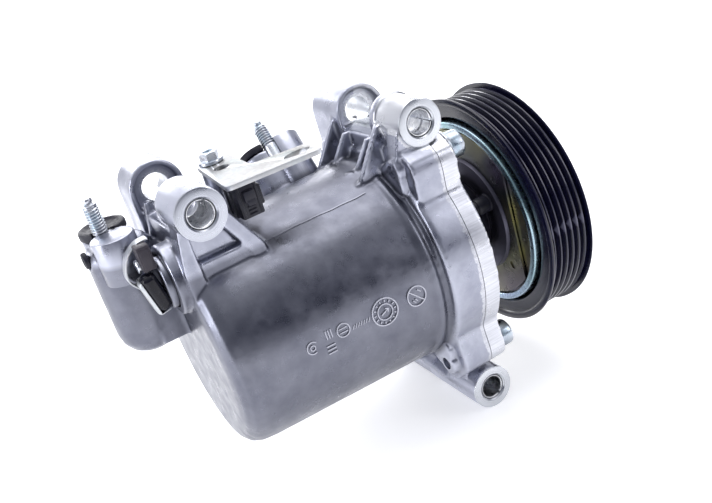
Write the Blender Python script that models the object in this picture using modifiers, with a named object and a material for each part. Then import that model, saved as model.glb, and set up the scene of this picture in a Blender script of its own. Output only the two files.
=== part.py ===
"""Belt-driven vane compressor for a car's air conditioning, with its clutch.

+X runs along the shaft towards the pulley, +Y along the lug bolts, +Z is up.
The origin is the centre of the casing's flat rear face.
"""

import math

import bmesh
import bpy
from mathutils import Matrix, Vector

MM = 0.001

# Gap left between two pieces that touch on the real compressor.
GAP = 0.3 * MM
STEPS = 40
INNER_STEPS = 20
ROD_STEPS = 16
SOLVER = "MANIFOLD"

# Casing, a deep cup that opens towards the front head.
CASING_REAR_R = 48.0 * MM
CASING_FRONT_R = 50.3 * MM
CASING_BORE_R = 44.0 * MM
CASING_WALL = 8.0 * MM
FLANGE_BACK_X = 100.0 * MM
FLANGE_R = 53.6 * MM
JOINT_X = 115.7 * MM
HEAD_BACK_X = 116.0 * MM
HEAD_FRONT_X = 124.0 * MM

# Lugs for the engine bolts, all bored along Y with their near faces in one plane.
LUG_NEAR_Y = -37.4 * MM
LUG_FAR_Y = 41.0 * MM
FT_LUG = (114.2 * MM, 65.8 * MM)
FB_LUG = (116.0 * MM, -69.3 * MM)
RT_LUG = (13.9 * MM, 68.0 * MM)
LUG_R = 10.5 * MM
LUG_BORE_R = 6.2 * MM
BUSH_BORE_R = 4.6 * MM

# Screws that clamp the front head.
HEAD_BOLT_R = 58.0 * MM
HEAD_BOLT_ANGLES = (122.6, 235.4, 302.0, 58.0)
EAR_R = 8.5 * MM
SCREW_R = 3.9 * MM
SCREW_HEAD_R = 6.2 * MM

# Pulley, six grooves of 3.56 mm pitch.
PULLEY_BACK_X = 150.2 * MM
PULLEY_FRONT_X = 174.6 * MM
PULLEY_RIM_R = 58.6 * MM
CREST_R = 56.1 * MM
GROOVE_DEPTH = 3.0 * MM
GROOVE_PITCH = 3.56 * MM
FIRST_CREST_X = 154.1 * MM
PULLEY_BORE_R = 27.2 * MM
COIL_OUTER_R = 47.4 * MM
COIL_INNER_R = 30.0 * MM
NOSE_R = 17.3 * MM

# Pumping unit inside the casing.
SHAFT_R = 8.0 * MM
ROTOR_R = 29.6 * MM
CAM_LONG = 34.5 * MM
CAM_SHORT = 30.3 * MM
UNIT_R = 43.6 * MM
ROTOR_BACK_X = 30.6 * MM
ROTOR_FRONT_X = 84.0 * MM
VANE_COUNT = 5
VANE_T = 4.0 * MM
VANE_BASE_R = 16.6 * MM
VANE_TIP_R = 29.9 * MM
SLOT_BASE_R = 13.6 * MM

# Ports: the discharge port stands on the rear chamber, the suction port leans off the casing.
CHAMBER = (-13.0 * MM, 13.0 * MM)
CHAMBER_R = 14.0 * MM
PORT_TOP_Z = 62.5 * MM
CAP_SEAT_Z = 59.5 * MM
DISCHARGE_PORT = (-14.5 * MM, 20.5 * MM)
DISCHARGE_STUD = (-16.6 * MM, 13.0 * MM)
NEAR_BOSS = (-14.5 * MM, 2.5 * MM)
SUCTION_X = 81.0 * MM
SUCTION_CAP_X = 69.5 * MM
SUCTION_TILT = 36.0
SUCTION_TOP = 74.0 * MM
PORT_BORE_R = 7.5 * MM
CAP_R = 10.5 * MM

# Sheet bracket over the casing, with the clutch connector under it.
BRACKET_TOP_Z = 72.0 * MM
BRACKET_T = 2.0 * MM
BRACKET_SCREW = (37.0 * MM, 10.0 * MM)

# Thermal switch held on the rear face.
SWITCH = (-12.0 * MM, 40.0 * MM)


def reset():
    for obj in list(bpy.data.objects):
        bpy.data.objects.remove(obj, do_unlink=True)


def new_collection(name, hidden=False):
    made = bpy.data.collections.new(name)
    bpy.context.scene.collection.children.link(made)
    made.hide_render = hidden
    return made


def material(name, colour, roughness, metallic):
    made = bpy.data.materials.new(name)
    made.use_nodes = True
    shader = made.node_tree.nodes["Principled BSDF"]
    shader.inputs["Base Color"].default_value = (*colour, 1.0)
    shader.inputs["Roughness"].default_value = roughness
    shader.inputs["Metallic"].default_value = metallic
    made.diffuse_color = (*colour, 1.0)
    return made


reset()
PARTS = new_collection("car_air_conditioning_compressor")
CUTTERS = new_collection("cutters", hidden=True)
CAST = material("cast_aluminium", (0.62, 0.64, 0.69), 0.45, 0.9)
CAST_HEAD = material("machined_casting", (0.70, 0.72, 0.76), 0.35, 0.9)
STEEL = material("steel", (0.55, 0.56, 0.58), 0.3, 1.0)
ZINC = material("zinc_plated_steel", (0.68, 0.72, 0.78), 0.35, 1.0)
BLACK_PAINT = material("black_painted_steel", (0.012, 0.012, 0.02), 0.3, 0.0)
COIL_STEEL = material("passivated_steel", (0.50, 0.48, 0.36), 0.4, 1.0)
BLACK_PLASTIC = material("black_plastic", (0.02, 0.02, 0.025), 0.5, 0.0)
BROWN_PLASTIC = material("brown_plastic", (0.10, 0.08, 0.09), 0.5, 0.0)
RUBBER = material("rubber", (0.015, 0.015, 0.02), 0.7, 0.0)


def add_object(name, mesh, slot, cutter=False):
    obj = bpy.data.objects.new(name, mesh)
    if cutter:
        CUTTERS.objects.link(obj)
        obj.display_type = "WIRE"
        obj.hide_render = True
    else:
        PARTS.objects.link(obj)
        obj.data.materials.append(slot)
    return obj


def smooth(obj, angle=35.0):
    mesh = obj.data
    mesh.shade_smooth()
    mesh.set_sharp_from_angle(angle=math.radians(angle))


def along(direction):
    """The rotation that takes a local +Z onto the direction."""
    return Vector(direction).normalized().to_track_quat("Z", "Y").to_matrix().to_4x4()


def placed(obj, origin, direction):
    obj.matrix_world = Matrix.Translation(Vector(origin)) @ along(direction)
    return obj


def lathe(name, profile, slot=None, origin=(0, 0, 0), direction=(1, 0, 0), steps=STEPS):
    """A turned piece. The profile is (radius, height) pairs, down the outer side."""
    mesh = bpy.data.meshes.new(name)
    points = [(radius, 0.0, height) for radius, height in profile]
    closed = profile[0][0] > 0 or profile[-1][0] > 0
    edges = [(i, i + 1) for i in range(len(points) - 1)]
    if closed:
        edges.append((len(points) - 1, 0))
    mesh.from_pydata(points, edges, [])
    obj = add_object(name, mesh, slot, cutter=slot is None)
    screw = obj.modifiers.new("turn", "SCREW")
    screw.axis = "Z"
    screw.steps = steps
    screw.render_steps = steps
    screw.use_merge_vertices = True
    screw.merge_threshold = 1e-5
    screw.use_smooth_shade = True
    return placed(obj, origin, direction)


def rod(name, radius, start, end, slot=None, steps=ROD_STEPS, bevel=0.0):
    """A round bar between two points, with its ends bevelled."""
    start, end = Vector(start), Vector(end)
    length = (end - start).length
    if bevel:
        profile = [
            (0, length),
            (radius - bevel, length),
            (radius, length - bevel),
            (radius, bevel),
            (radius - bevel, 0),
            (0, 0),
        ]
    else:
        profile = [(0, length), (radius, length), (radius, 0), (0, 0)]
    return lathe(name, profile, slot, start, end - start, steps)


def ring(name, inner, outer, start, end, slot=None, steps=INNER_STEPS, bevel=0.3 * MM):
    """A plain ring about the shaft between two stations along X."""
    profile = [
        (inner, end),
        (outer - bevel, end),
        (outer, end - bevel),
        (outer, start),
        (inner, start),
    ]
    return lathe(name, profile, slot, steps=steps)


def block(name, low, high, slot=None, bevel=0.0, rotation=None):
    """A box between two corners, turned about its centre if a rotation is given."""
    low, high = Vector(low), Vector(high)
    size = high - low
    mesh = bpy.data.meshes.new(name)
    bm = bmesh.new()
    bmesh.ops.create_cube(bm, size=1.0, matrix=Matrix.Diagonal((*size, 1.0)))
    if bevel:
        bmesh.ops.bevel(
            bm,
            geom=bm.edges[:],
            offset=bevel,
            segments=2,
            profile=0.5,
            affect="EDGES",
        )
    bm.to_mesh(mesh)
    bm.free()
    obj = add_object(name, mesh, slot, cutter=slot is None)
    obj.location = (low + high) / 2
    if rotation:
        obj.rotation_euler = rotation
    return obj


def prism(name, outline, low, high, plane="XZ", slot=None):
    """A flat outline pushed along the third axis. The outline runs anticlockwise."""
    placings = {
        "XZ": lambda a, b, c: (a, c, b),
        "XY": lambda a, b, c: (a, b, c),
        "YZ": lambda a, b, c: (c, a, b),
    }
    place = placings[plane]
    mesh = bpy.data.meshes.new(name)
    bm = bmesh.new()
    bottom = [bm.verts.new(place(a, b, low)) for a, b in outline]
    top = [bm.verts.new(place(a, b, high)) for a, b in outline]
    bm.faces.new(bottom)
    bm.faces.new(top)
    count = len(outline)
    for i in range(count):
        j = (i + 1) % count
        bm.faces.new((bottom[i], bottom[j], top[j], top[i]))
    bmesh.ops.recalc_face_normals(bm, faces=bm.faces[:])
    bm.to_mesh(mesh)
    bm.free()
    return add_object(name, mesh, slot, cutter=slot is None)


def arch(centre, radius, foot, count=12):
    """An outline with a round top over a flat foot."""
    cx, cz = centre
    points = [(cx - radius, foot), (cx + radius, foot)]
    for i in range(count + 1):
        angle = math.pi * i / count
        points.append((cx + radius * math.cos(angle), cz + radius * math.sin(angle)))
    return points


def boolean(target, other, operation):
    modifier = target.modifiers.new(f"{operation.lower()}_{other.name}"[:60], "BOOLEAN")
    modifier.operation = operation
    modifier.solver = SOLVER
    modifier.object = other


def join(target, *others):
    for other in others:
        boolean(target, other, "UNION")


def cut(target, *others):
    for other in others:
        boolean(target, other, "DIFFERENCE")


def on_circle(radius, degrees):
    angle = math.radians(degrees)
    return radius * math.cos(angle), radius * math.sin(angle)


def lug_bore(name, centre, radius):
    x, z = centre
    return rod(name, radius, (x, -60 * MM, z), (x, 60 * MM, z))


# ---------------------------------------------------------------- casing
casing = lathe(
    "rear_casing",
    [
        (0, JOINT_X),
        (FLANGE_R + 0.3 * MM, JOINT_X),
        (FLANGE_R, FLANGE_BACK_X + 1.5 * MM),
        (CASING_FRONT_R + 1.0 * MM, FLANGE_BACK_X),
        (CASING_FRONT_R, FLANGE_BACK_X - 1.5 * MM),
        (CASING_REAR_R, 11 * MM),
        (CASING_REAR_R - 1.2 * MM, 5.5 * MM),
        (CASING_REAR_R - 4.2 * MM, 1.8 * MM),
        (CASING_REAR_R - 9.0 * MM, 0),
        (0, 0),
    ],
    CAST,
)


def lug_tube(tag, centre, low, high, collar=0.0):
    """A lug's round barrel, with a wider cast collar behind its machined end."""
    x, z = centre
    tube = rod(f"{tag}_tube", LUG_R, (x, low, z), (x, high, z), bevel=0.5 * MM)
    if not collar:
        return [tube]
    wide = rod(f"{tag}_collar", LUG_R + 0.8 * MM, (x, high - 0.5 * MM, z), (x, high + collar, z))
    return [tube, wide]


def gusset(tag, outline, middle, thickness=3.0 * MM):
    return prism(tag, outline, middle - thickness / 2, middle + thickness / 2)


FTX, FTZ = FT_LUG
RTX, RTZ = RT_LUG
FBX, FBZ = FB_LUG

casing_adds = []
casing_adds += lug_tube("front_top", FT_LUG, LUG_NEAR_Y, -16.5 * MM, collar=4.0 * MM)
casing_adds += lug_tube("rear_top", RT_LUG, LUG_NEAR_Y, -11.0 * MM)
casing_adds += lug_tube("front_bottom", FB_LUG, LUG_NEAR_Y, LUG_FAR_Y)
casing_adds.append(
    prism("front_top_ear", arch(FT_LUG, 12.6 * MM, 40 * MM), 15.0 * MM, LUG_FAR_Y)
)
casing_adds.append(
    prism("rear_top_ear", arch(RT_LUG, 12.4 * MM, 38 * MM), 21.0 * MM, LUG_FAR_Y + 1 * MM)
)
casing_adds.append(
    block("front_top_neck", (106 * MM, -34 * MM, 38 * MM), (122 * MM, -12 * MM, 60 * MM))
)
casing_adds.append(
    block("front_top_wall", (104 * MM, -21 * MM, 40 * MM), (119 * MM, 30 * MM, 59.5 * MM))
)
casing_adds.append(
    block("rear_top_wall", (4 * MM, -29 * MM, 34 * MM), (23.5 * MM, 30 * MM, 61 * MM))
)
casing_adds.append(
    block("front_bottom_wall", (107 * MM, -31 * MM, -63 * MM), (123 * MM, 36 * MM, -40 * MM))
)
front_rib = [
    (84 * MM, 42 * MM),
    (112 * MM, 42 * MM),
    (112 * MM, 67 * MM),
    (101.5 * MM, 67 * MM),
]
for index, middle in enumerate((-18.5, -6.0, 9.5, 21.5)):
    casing_adds.append(gusset(f"front_rib_{index + 1}", front_rib, middle * MM))
rear_rib = [
    (12 * MM, 38 * MM),
    (37 * MM, 38 * MM),
    (37 * MM, 43 * MM),
    (24 * MM, 65 * MM),
    (12 * MM, 65 * MM),
]
for index, middle in enumerate((-26.0, 27.0)):
    casing_adds.append(gusset(f"rear_rib_{index + 1}", rear_rib, middle * MM))
bottom_rib = [
    (90 * MM, -47 * MM),
    (108 * MM, -74 * MM),
    (112 * MM, -74 * MM),
    (112 * MM, -40 * MM),
    (90 * MM, -40 * MM),
]
for index, middle in enumerate((-14.0, 18.0)):
    casing_adds.append(gusset(f"bottom_rib_{index + 1}", bottom_rib, middle * MM))
for index, angle in enumerate(HEAD_BOLT_ANGLES):
    y, z = on_circle(HEAD_BOLT_R, angle)
    casing_adds.append(
        rod(
            f"casing_ear_{index + 1}",
            EAR_R,
            (FLANGE_BACK_X + 0.5 * MM, y, z),
            (JOINT_X, y, z),
            steps=ROD_STEPS,
        )
    )
    casing_adds.append(
        rod(
            f"casing_ear_root_{index + 1}",
            EAR_R + 2.5 * MM,
            (FLANGE_BACK_X + 2.0 * MM, *on_circle(50 * MM, angle)),
            (JOINT_X, *on_circle(50 * MM, angle)),
            steps=ROD_STEPS,
        )
    )

# Chamber behind the rear wall, with the discharge port and its near boss on it.
CX, CY = CHAMBER
casing_adds.append(
    lathe(
        "chamber_body",
        [
            (0, 56 * MM),
            (CHAMBER_R - 2 * MM, 56 * MM),
            (CHAMBER_R, 53 * MM),
            (CHAMBER_R, 16 * MM),
            (CHAMBER_R - 2.0 * MM, 10.5 * MM),
            (CHAMBER_R - 6.5 * MM, 6.5 * MM),
            (0, 5 * MM),
        ],
        origin=(CX, CY, 0),
        direction=(0, 0, 1),
        steps=INNER_STEPS,
    )
)
casing_adds.append(
    block("chamber_root", (-12 * MM, -1 * MM, 9 * MM), (4 * MM, 27 * MM, 50 * MM))
)
PX, PY = DISCHARGE_PORT
casing_adds.append(rod("discharge_boss", 10 * MM, (PX, PY, 40 * MM), (PX, PY, CAP_SEAT_Z)))
BX, BY = NEAR_BOSS
casing_adds.append(
    rod("near_boss", 9.3 * MM, (BX, BY, 43 * MM), (BX, BY, PORT_TOP_Z), bevel=0.6 * MM)
)
casing_adds.append(
    block("boss_web", (-23.3 * MM, 2.5 * MM, 44 * MM), (-5.5 * MM, 20 * MM, CAP_SEAT_Z - 0.5 * MM))
)
SY, SZ = SWITCH
casing_adds.append(
    rod("switch_seat", 15.5 * MM, (-3.0 * MM, SY, SZ), (6 * MM, SY, SZ), bevel=0.8 * MM)
)

# Suction boss, leaning away from the upright.
lean = math.radians(SUCTION_TILT)
SUCTION_AXIS = Vector((0, math.sin(lean), math.cos(lean)))
SUCTION_SIDE = Vector((0, math.cos(lean), -math.sin(lean)))


def off_casing(x, height, side=0.0):
    return Vector((x, 0, 0)) + SUCTION_AXIS * height + SUCTION_SIDE * side


casing_adds.append(
    rod(
        "suction_near_boss",
        9.8 * MM,
        off_casing(SUCTION_X, 40 * MM),
        off_casing(SUCTION_X, SUCTION_TOP),
        bevel=0.8 * MM,
    )
)
casing_adds.append(
    rod(
        "suction_port_boss",
        10.5 * MM,
        off_casing(SUCTION_CAP_X, 40 * MM, 3 * MM),
        off_casing(SUCTION_CAP_X, SUCTION_TOP - 4 * MM, 3 * MM),
    )
)
casing_adds.append(
    rod(
        "bracket_boss",
        5.5 * MM,
        (BRACKET_SCREW[0], BRACKET_SCREW[1], 44 * MM),
        (BRACKET_SCREW[0], BRACKET_SCREW[1], BRACKET_TOP_Z - BRACKET_T - GAP),
        steps=ROD_STEPS,
    )
)
join(casing, *casing_adds)

casing_cuts = [
    lathe(
        "casing_bore",
        [
            (0, 130 * MM),
            (46.6 * MM, 130 * MM),
            (46.6 * MM, JOINT_X - 2.4 * MM),
            (CASING_BORE_R, JOINT_X - 2.4 * MM),
            (CASING_BORE_R, CASING_WALL + 3 * MM),
            (40 * MM, CASING_WALL),
            (0, CASING_WALL),
        ],
    ),
    lug_bore("front_top_bore", FT_LUG, LUG_BORE_R),
    lug_bore("front_bottom_bore", FB_LUG, LUG_BORE_R),
    lug_bore("rear_top_bore", RT_LUG, LUG_BORE_R),
    prism("front_top_recess", arch(FT_LUG, 10.2 * MM, 60.5 * MM), -12 * MM, 18.5 * MM),
    prism("rear_top_recess", arch(RT_LUG, 10.0 * MM, 62.5 * MM), -10.5 * MM, 24.0 * MM),
    rod(
        "discharge_bore",
        PORT_BORE_R,
        (PX, PY, 22 * MM),
        (PX, PY, 90 * MM),
        steps=ROD_STEPS,
    ),
    rod(
        "suction_bore",
        PORT_BORE_R,
        off_casing(SUCTION_CAP_X, 30 * MM, 3 * MM),
        off_casing(SUCTION_CAP_X, 95 * MM, 3 * MM),
        steps=ROD_STEPS,
    ),
    rod(
        "bracket_screw_hole",
        2.6 * MM,
        (BRACKET_SCREW[0], BRACKET_SCREW[1], 58 * MM),
        (BRACKET_SCREW[0], BRACKET_SCREW[1], 90 * MM),
        steps=16,
    ),
]
for index, angle in enumerate(HEAD_BOLT_ANGLES):
    y, z = on_circle(HEAD_BOLT_R, angle)
    casing_cuts.append(
        rod(
            f"tapped_hole_{index + 1}",
            SCREW_R + GAP,
            (FLANGE_BACK_X - 4 * MM, y, z),
            (130 * MM, y, z),
            steps=16,
        )
    )
casing_cuts.append(
    rod("switch_pocket", 12.0 * MM, (-9 * MM, SY, SZ), (-0.5 * MM, SY, SZ))
)
cut(casing, *casing_cuts)

# ---------------------------------------------------------------- front head
head = lathe(
    "front_head",
    [
        (12 * MM, 110 * MM),
        (12 * MM, 174.2 * MM),
        (NOSE_R - 0.8 * MM, 174.2 * MM),
        (NOSE_R, 173.4 * MM),
        (NOSE_R, 147.0 * MM),
        (21 * MM, 145.0 * MM),
        (27 * MM, 133.0 * MM),
        (38 * MM, 126.5 * MM),
        (44 * MM, HEAD_FRONT_X),
        (FLANGE_R - 1.0 * MM, HEAD_FRONT_X),
        (FLANGE_R, HEAD_FRONT_X - 1.0 * MM),
        (FLANGE_R, HEAD_BACK_X),
        (CASING_BORE_R - 0.4 * MM, HEAD_BACK_X),
        (CASING_BORE_R - 0.4 * MM, 101 * MM),
        (38 * MM, 101 * MM),
        (38 * MM, 110 * MM),
    ],
    CAST_HEAD,
)
head_adds = []
head_cuts = [
    lug_bore("front_top_room", FT_LUG, LUG_R + 0.8 * MM),
    lug_bore("front_bottom_room", FB_LUG, LUG_R + 0.8 * MM),
    block("front_top_wall_room", (110 * MM, -35 * MM, 57.4 * MM), (122.5 * MM, 45 * MM, 70 * MM)),
]
for index, angle in enumerate(HEAD_BOLT_ANGLES):
    y, z = on_circle(HEAD_BOLT_R, angle)
    head_adds.append(
        rod(
            f"head_ear_{index + 1}",
            EAR_R,
            (HEAD_BACK_X, y, z),
            (HEAD_FRONT_X, y, z),
            steps=ROD_STEPS,
            bevel=0.8 * MM,
        )
    )
    head_adds.append(
        rod(
            f"head_ear_root_{index + 1}",
            EAR_R + 2.5 * MM,
            (HEAD_BACK_X, *on_circle(50 * MM, angle)),
            (HEAD_FRONT_X - 0.7 * MM, *on_circle(50 * MM, angle)),
            steps=ROD_STEPS,
        )
    )
    head_cuts.append(
        rod(
            f"clear_hole_{index + 1}",
            SCREW_R + GAP,
            (110 * MM, y, z),
            (130 * MM, y, z),
            steps=16,
        )
    )
join(head, *head_adds)
cut(head, *head_cuts)
for part in (casing, head):
    smooth(part)

# The casing keeps clear of the head wherever a lug wall reaches past the joint.
head_room = [
    ring("head_room", 10 * MM, FLANGE_R + 0.4 * MM, HEAD_BACK_X - GAP, HEAD_FRONT_X + 3 * MM, steps=STEPS)
]
for index, angle in enumerate(HEAD_BOLT_ANGLES):
    head_room.append(
        rod(
            f"ear_room_{index + 1}",
            EAR_R + 0.4 * MM,
            (HEAD_BACK_X - GAP, *on_circle(HEAD_BOLT_R, angle)),
            (HEAD_FRONT_X + 12 * MM, *on_circle(HEAD_BOLT_R, angle)),
            steps=ROD_STEPS,
        )
    )
    head_room.append(
        rod(
            f"root_room_{index + 1}",
            EAR_R + 2.9 * MM,
            (HEAD_BACK_X - GAP, *on_circle(50 * MM, angle)),
            (HEAD_FRONT_X + 12 * MM, *on_circle(50 * MM, angle)),
            steps=ROD_STEPS,
        )
    )
cut(casing, *head_room)

lathe(
    "head_seal",
    [
        (CASING_BORE_R + 1.3 * MM + 1.0 * MM * math.cos(a), 114.45 * MM - 1.0 * MM * math.sin(a))
        for a in (math.radians(60 * i) for i in range(6))
    ],
    RUBBER,
)

for index, angle in enumerate(HEAD_BOLT_ANGLES):
    y, z = on_circle(HEAD_BOLT_R, angle)
    lathe(
        f"head_screw_{index + 1}",
        [
            (0, 31.5 * MM),
            (SCREW_HEAD_R - 0.7 * MM, 31.5 * MM),
            (SCREW_HEAD_R, 30.8 * MM),
            (SCREW_HEAD_R, 24.2 * MM),
            (SCREW_HEAD_R + 1.6 * MM, 24.2 * MM),
            (SCREW_HEAD_R + 1.6 * MM, 22.8 * MM),
            (SCREW_R, 22.8 * MM),
            (SCREW_R, 0),
            (0, 0),
        ],
        ZINC,
        origin=(HEAD_FRONT_X - 22.8 * MM + GAP, y, z),
        steps=ROD_STEPS,
    )

# ---------------------------------------------------------------- lug bushes


def bush(name, centre, low, high):
    x, z = centre
    made = lathe(
        name,
        [
            (BUSH_BORE_R, high - low),
            (LUG_BORE_R - GAP, high - low),
            (LUG_BORE_R - GAP, 0),
            (BUSH_BORE_R, 0),
        ],
        STEEL,
        origin=(x, low, z),
        direction=(0, 1, 0),
        steps=INNER_STEPS,
    )
    slot = block(
        f"{name}_slot",
        (x - 0.6 * MM, low - 2 * MM, z - 9 * MM),
        (x + 0.6 * MM, high + 2 * MM, z - 1 * MM),
    )
    cut(made, slot)
    return made


bush("front_top_bush", FT_LUG, LUG_NEAR_Y + 2.2 * MM, -21 * MM)
bush("front_bottom_bush", FB_LUG, LUG_NEAR_Y + 1.6 * MM, -18 * MM)
bush("rear_top_bush", RT_LUG, LUG_NEAR_Y + 2.4 * MM, -16 * MM)

# ---------------------------------------------------------------- ports


def stud(name, foot, direction, length, sunk):
    foot = Vector(foot) - Vector(direction).normalized() * sunk
    total = length + sunk
    return lathe(
        name,
        [
            (0, total),
            (1.6 * MM, total),
            (2.0 * MM, total - 0.4 * MM),
            (2.0 * MM, total - 2.4 * MM),
            (2.8 * MM, total - 2.8 * MM),
            (3.4 * MM, total - 3.8 * MM),
            (3.4 * MM, 0),
            (0, 0),
        ],
        ZINC,
        origin=foot,
        direction=direction,
        steps=ROD_STEPS,
    )


UP = (0, 0, 1)
SX, SYY = DISCHARGE_STUD
cut(
    casing,
    rod("discharge_stud_hole", 3.7 * MM, (SX, SYY, 56 * MM), (SX, SYY, 90 * MM), steps=ROD_STEPS),
)
stud("discharge_stud", (SX, SYY, CAP_SEAT_Z), UP, 18.5 * MM, 3.2 * MM)
cap = lathe(
    "discharge_cap",
    [
        (0, 4.2 * MM),
        (CAP_R - 1.2 * MM, 4.2 * MM),
        (CAP_R, 3.4 * MM),
        (CAP_R, 0),
        (PORT_BORE_R - 0.4 * MM, 0),
        (PORT_BORE_R - 0.7 * MM, -6 * MM),
        (0, -6 * MM),
    ],
    BLACK_PLASTIC,
    origin=(PX, PY, CAP_SEAT_Z + GAP),
    direction=UP,
    steps=INNER_STEPS,
)
cut(
    cap,
    rod("discharge_cap_notch", 4.2 * MM, (SX, SYY, 55 * MM), (SX, SYY, 75 * MM)),
    rod("discharge_cap_side", 9.8 * MM, (BX, BY, 40 * MM), (BX, BY, 75 * MM)),
)
rod(
    "chamber_plug",
    4.0 * MM,
    (CX - CHAMBER_R + 1.2 * MM, CY - 1 * MM, 54 * MM),
    (CX - CHAMBER_R - 2 * MM, CY - 1 * MM, 54 * MM),
    BLACK_PLASTIC,
    steps=ROD_STEPS,
    bevel=0.6 * MM,
)
cut(
    casing,
    rod(
        "chamber_plug_hole",
        4.4 * MM,
        (CX - CHAMBER_R + 1.6 * MM, CY - 1 * MM, 54 * MM),
        (CX - CHAMBER_R - 9 * MM, CY - 1 * MM, 54 * MM),
        steps=ROD_STEPS,
    ),
)
lathe(
    "oil_separator",
    [
        (3.0 * MM, 28 * MM),
        (6.8 * MM, 28 * MM),
        (6.8 * MM, 25 * MM),
        (4.4 * MM, 24 * MM),
        (4.4 * MM, 0),
        (3.0 * MM, 0),
    ],
    STEEL,
    origin=(PX, PY, 23 * MM),
    direction=UP,
    steps=ROD_STEPS,
)

STUD_FOOT = off_casing(SUCTION_CAP_X + 4.2 * MM, SUCTION_TOP - 4 * MM, -6.0 * MM)
cut(
    casing,
    rod(
        "suction_stud_hole",
        3.7 * MM,
        STUD_FOOT - SUCTION_AXIS * 11 * MM,
        STUD_FOOT + SUCTION_AXIS * 30 * MM,
        steps=ROD_STEPS,
    ),
)
stud("suction_stud", STUD_FOOT, SUCTION_AXIS, 14.5 * MM, 10 * MM)
suction_cap = lathe(
    "suction_cap",
    [
        (0, 4.2 * MM),
        (CAP_R - 1.2 * MM, 4.2 * MM),
        (CAP_R, 3.4 * MM),
        (CAP_R, 0),
        (PORT_BORE_R - 0.4 * MM, 0),
        (PORT_BORE_R - 0.7 * MM, -6 * MM),
        (0, -6 * MM),
    ],
    BLACK_PLASTIC,
    origin=off_casing(SUCTION_CAP_X, SUCTION_TOP - 4 * MM + GAP, 3 * MM),
    direction=SUCTION_AXIS,
    steps=INNER_STEPS,
)
cut(
    suction_cap,
    rod(
        "suction_cap_notch",
        4.2 * MM,
        STUD_FOOT - SUCTION_AXIS * 8 * MM,
        STUD_FOOT + SUCTION_AXIS * 12 * MM,
        steps=ROD_STEPS,
    ),
    rod(
        "suction_cap_side",
        10.2 * MM,
        off_casing(SUCTION_X, 60 * MM),
        off_casing(SUCTION_X, 90 * MM),
    ),
)

# ---------------------------------------------------------------- bracket
plate = prism(
    "bracket_plate",
    [
        (28.0 * MM, -31.5 * MM),
        (70.2 * MM, -34.6 * MM),
        (71.0 * MM, -19.5 * MM),
        (45.6 * MM, -15.0 * MM),
        (46.0 * MM, 17.5 * MM),
        (31.0 * MM, 14.0 * MM),
    ],
    BRACKET_TOP_Z - BRACKET_T,
    BRACKET_TOP_Z,
    plane="XY",
    slot=ZINC,
)
cut(
    plate,
    rod("bracket_round_hole", 3.4 * MM, (37 * MM, -3 * MM, 60 * MM), (37 * MM, -3 * MM, 80 * MM)),
    rod("bracket_screw_room", 2.7 * MM, (*BRACKET_SCREW, 60 * MM), (*BRACKET_SCREW, 80 * MM)),
    block("bracket_slot", (54 * MM, -30 * MM, 60 * MM), (66 * MM, -25 * MM, 80 * MM)),
)
lathe(
    "bracket_screw",
    [
        (0, 18.5 * MM),
        (3.4 * MM, 18.5 * MM),
        (4.4 * MM, 17.4 * MM),
        (4.4 * MM, 14.6 * MM),
        (5.6 * MM, 14.4 * MM),
        (5.6 * MM, 13.4 * MM),
        (2.3 * MM, 13.4 * MM),
        (2.3 * MM, 0),
        (0, 0),
    ],
    ZINC,
    origin=(*BRACKET_SCREW, BRACKET_TOP_Z + GAP - 13.4 * MM),
    direction=UP,
    steps=ROD_STEPS,
)
connector = block(
    "clutch_connector",
    (31.5 * MM, -27 * MM, 54.5 * MM),
    (42.0 * MM, -12 * MM, 69.4 * MM),
    BLACK_PLASTIC,
    bevel=0.8 * MM,
)
join(
    connector,
    block("connector_latch", (33.5 * MM, -29.2 * MM, 60 * MM), (40 * MM, -26 * MM, 66.5 * MM)),
    block("connector_root", (38 * MM, -14 * MM, 57 * MM), (44.0 * MM, -6 * MM, 66 * MM)),
)

# ---------------------------------------------------------------- thermal switch
rod(
    "switch_body",
    11.2 * MM,
    (-0.9 * MM, SY, SZ),
    (-6.0 * MM, SY, SZ),
    STEEL,
    bevel=0.6 * MM,
)
block(
    "switch_housing",
    (-12.4 * MM, SY - 7.0 * MM, SZ + 6.5 * MM),
    (-6.4 * MM, SY, SZ + 17.0 * MM),
    BROWN_PLASTIC,
    bevel=0.6 * MM,
)
block(
    "switch_plug",
    (-13.4 * MM, SY - 8.0 * MM, SZ - 11.0 * MM),
    (-6.4 * MM, SY, SZ + 5.8 * MM),
    RUBBER,
    bevel=2.0 * MM,
)
strap_angles = [math.radians(80 + 200 * i / 16) for i in range(17)]
prism(
    "switch_clip",
    [(-5.5 * MM + 12.5 * MM * math.cos(a), SZ + 12.5 * MM * math.sin(a)) for a in strap_angles]
    + [
        (-5.5 * MM + 11.7 * MM * math.cos(a), SZ + 11.7 * MM * math.sin(a))
        for a in reversed(strap_angles)
    ],
    SY + 0.5 * MM,
    SY + 4.4 * MM,
    slot=ZINC,
)
rod(
    "switch_screw",
    2.2 * MM,
    (-6.3 * MM, SY + 2.4 * MM, SZ + 8 * MM),
    (-10.6 * MM, SY + 2.4 * MM, SZ + 8 * MM),
    ZINC,
    steps=12,
)

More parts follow.
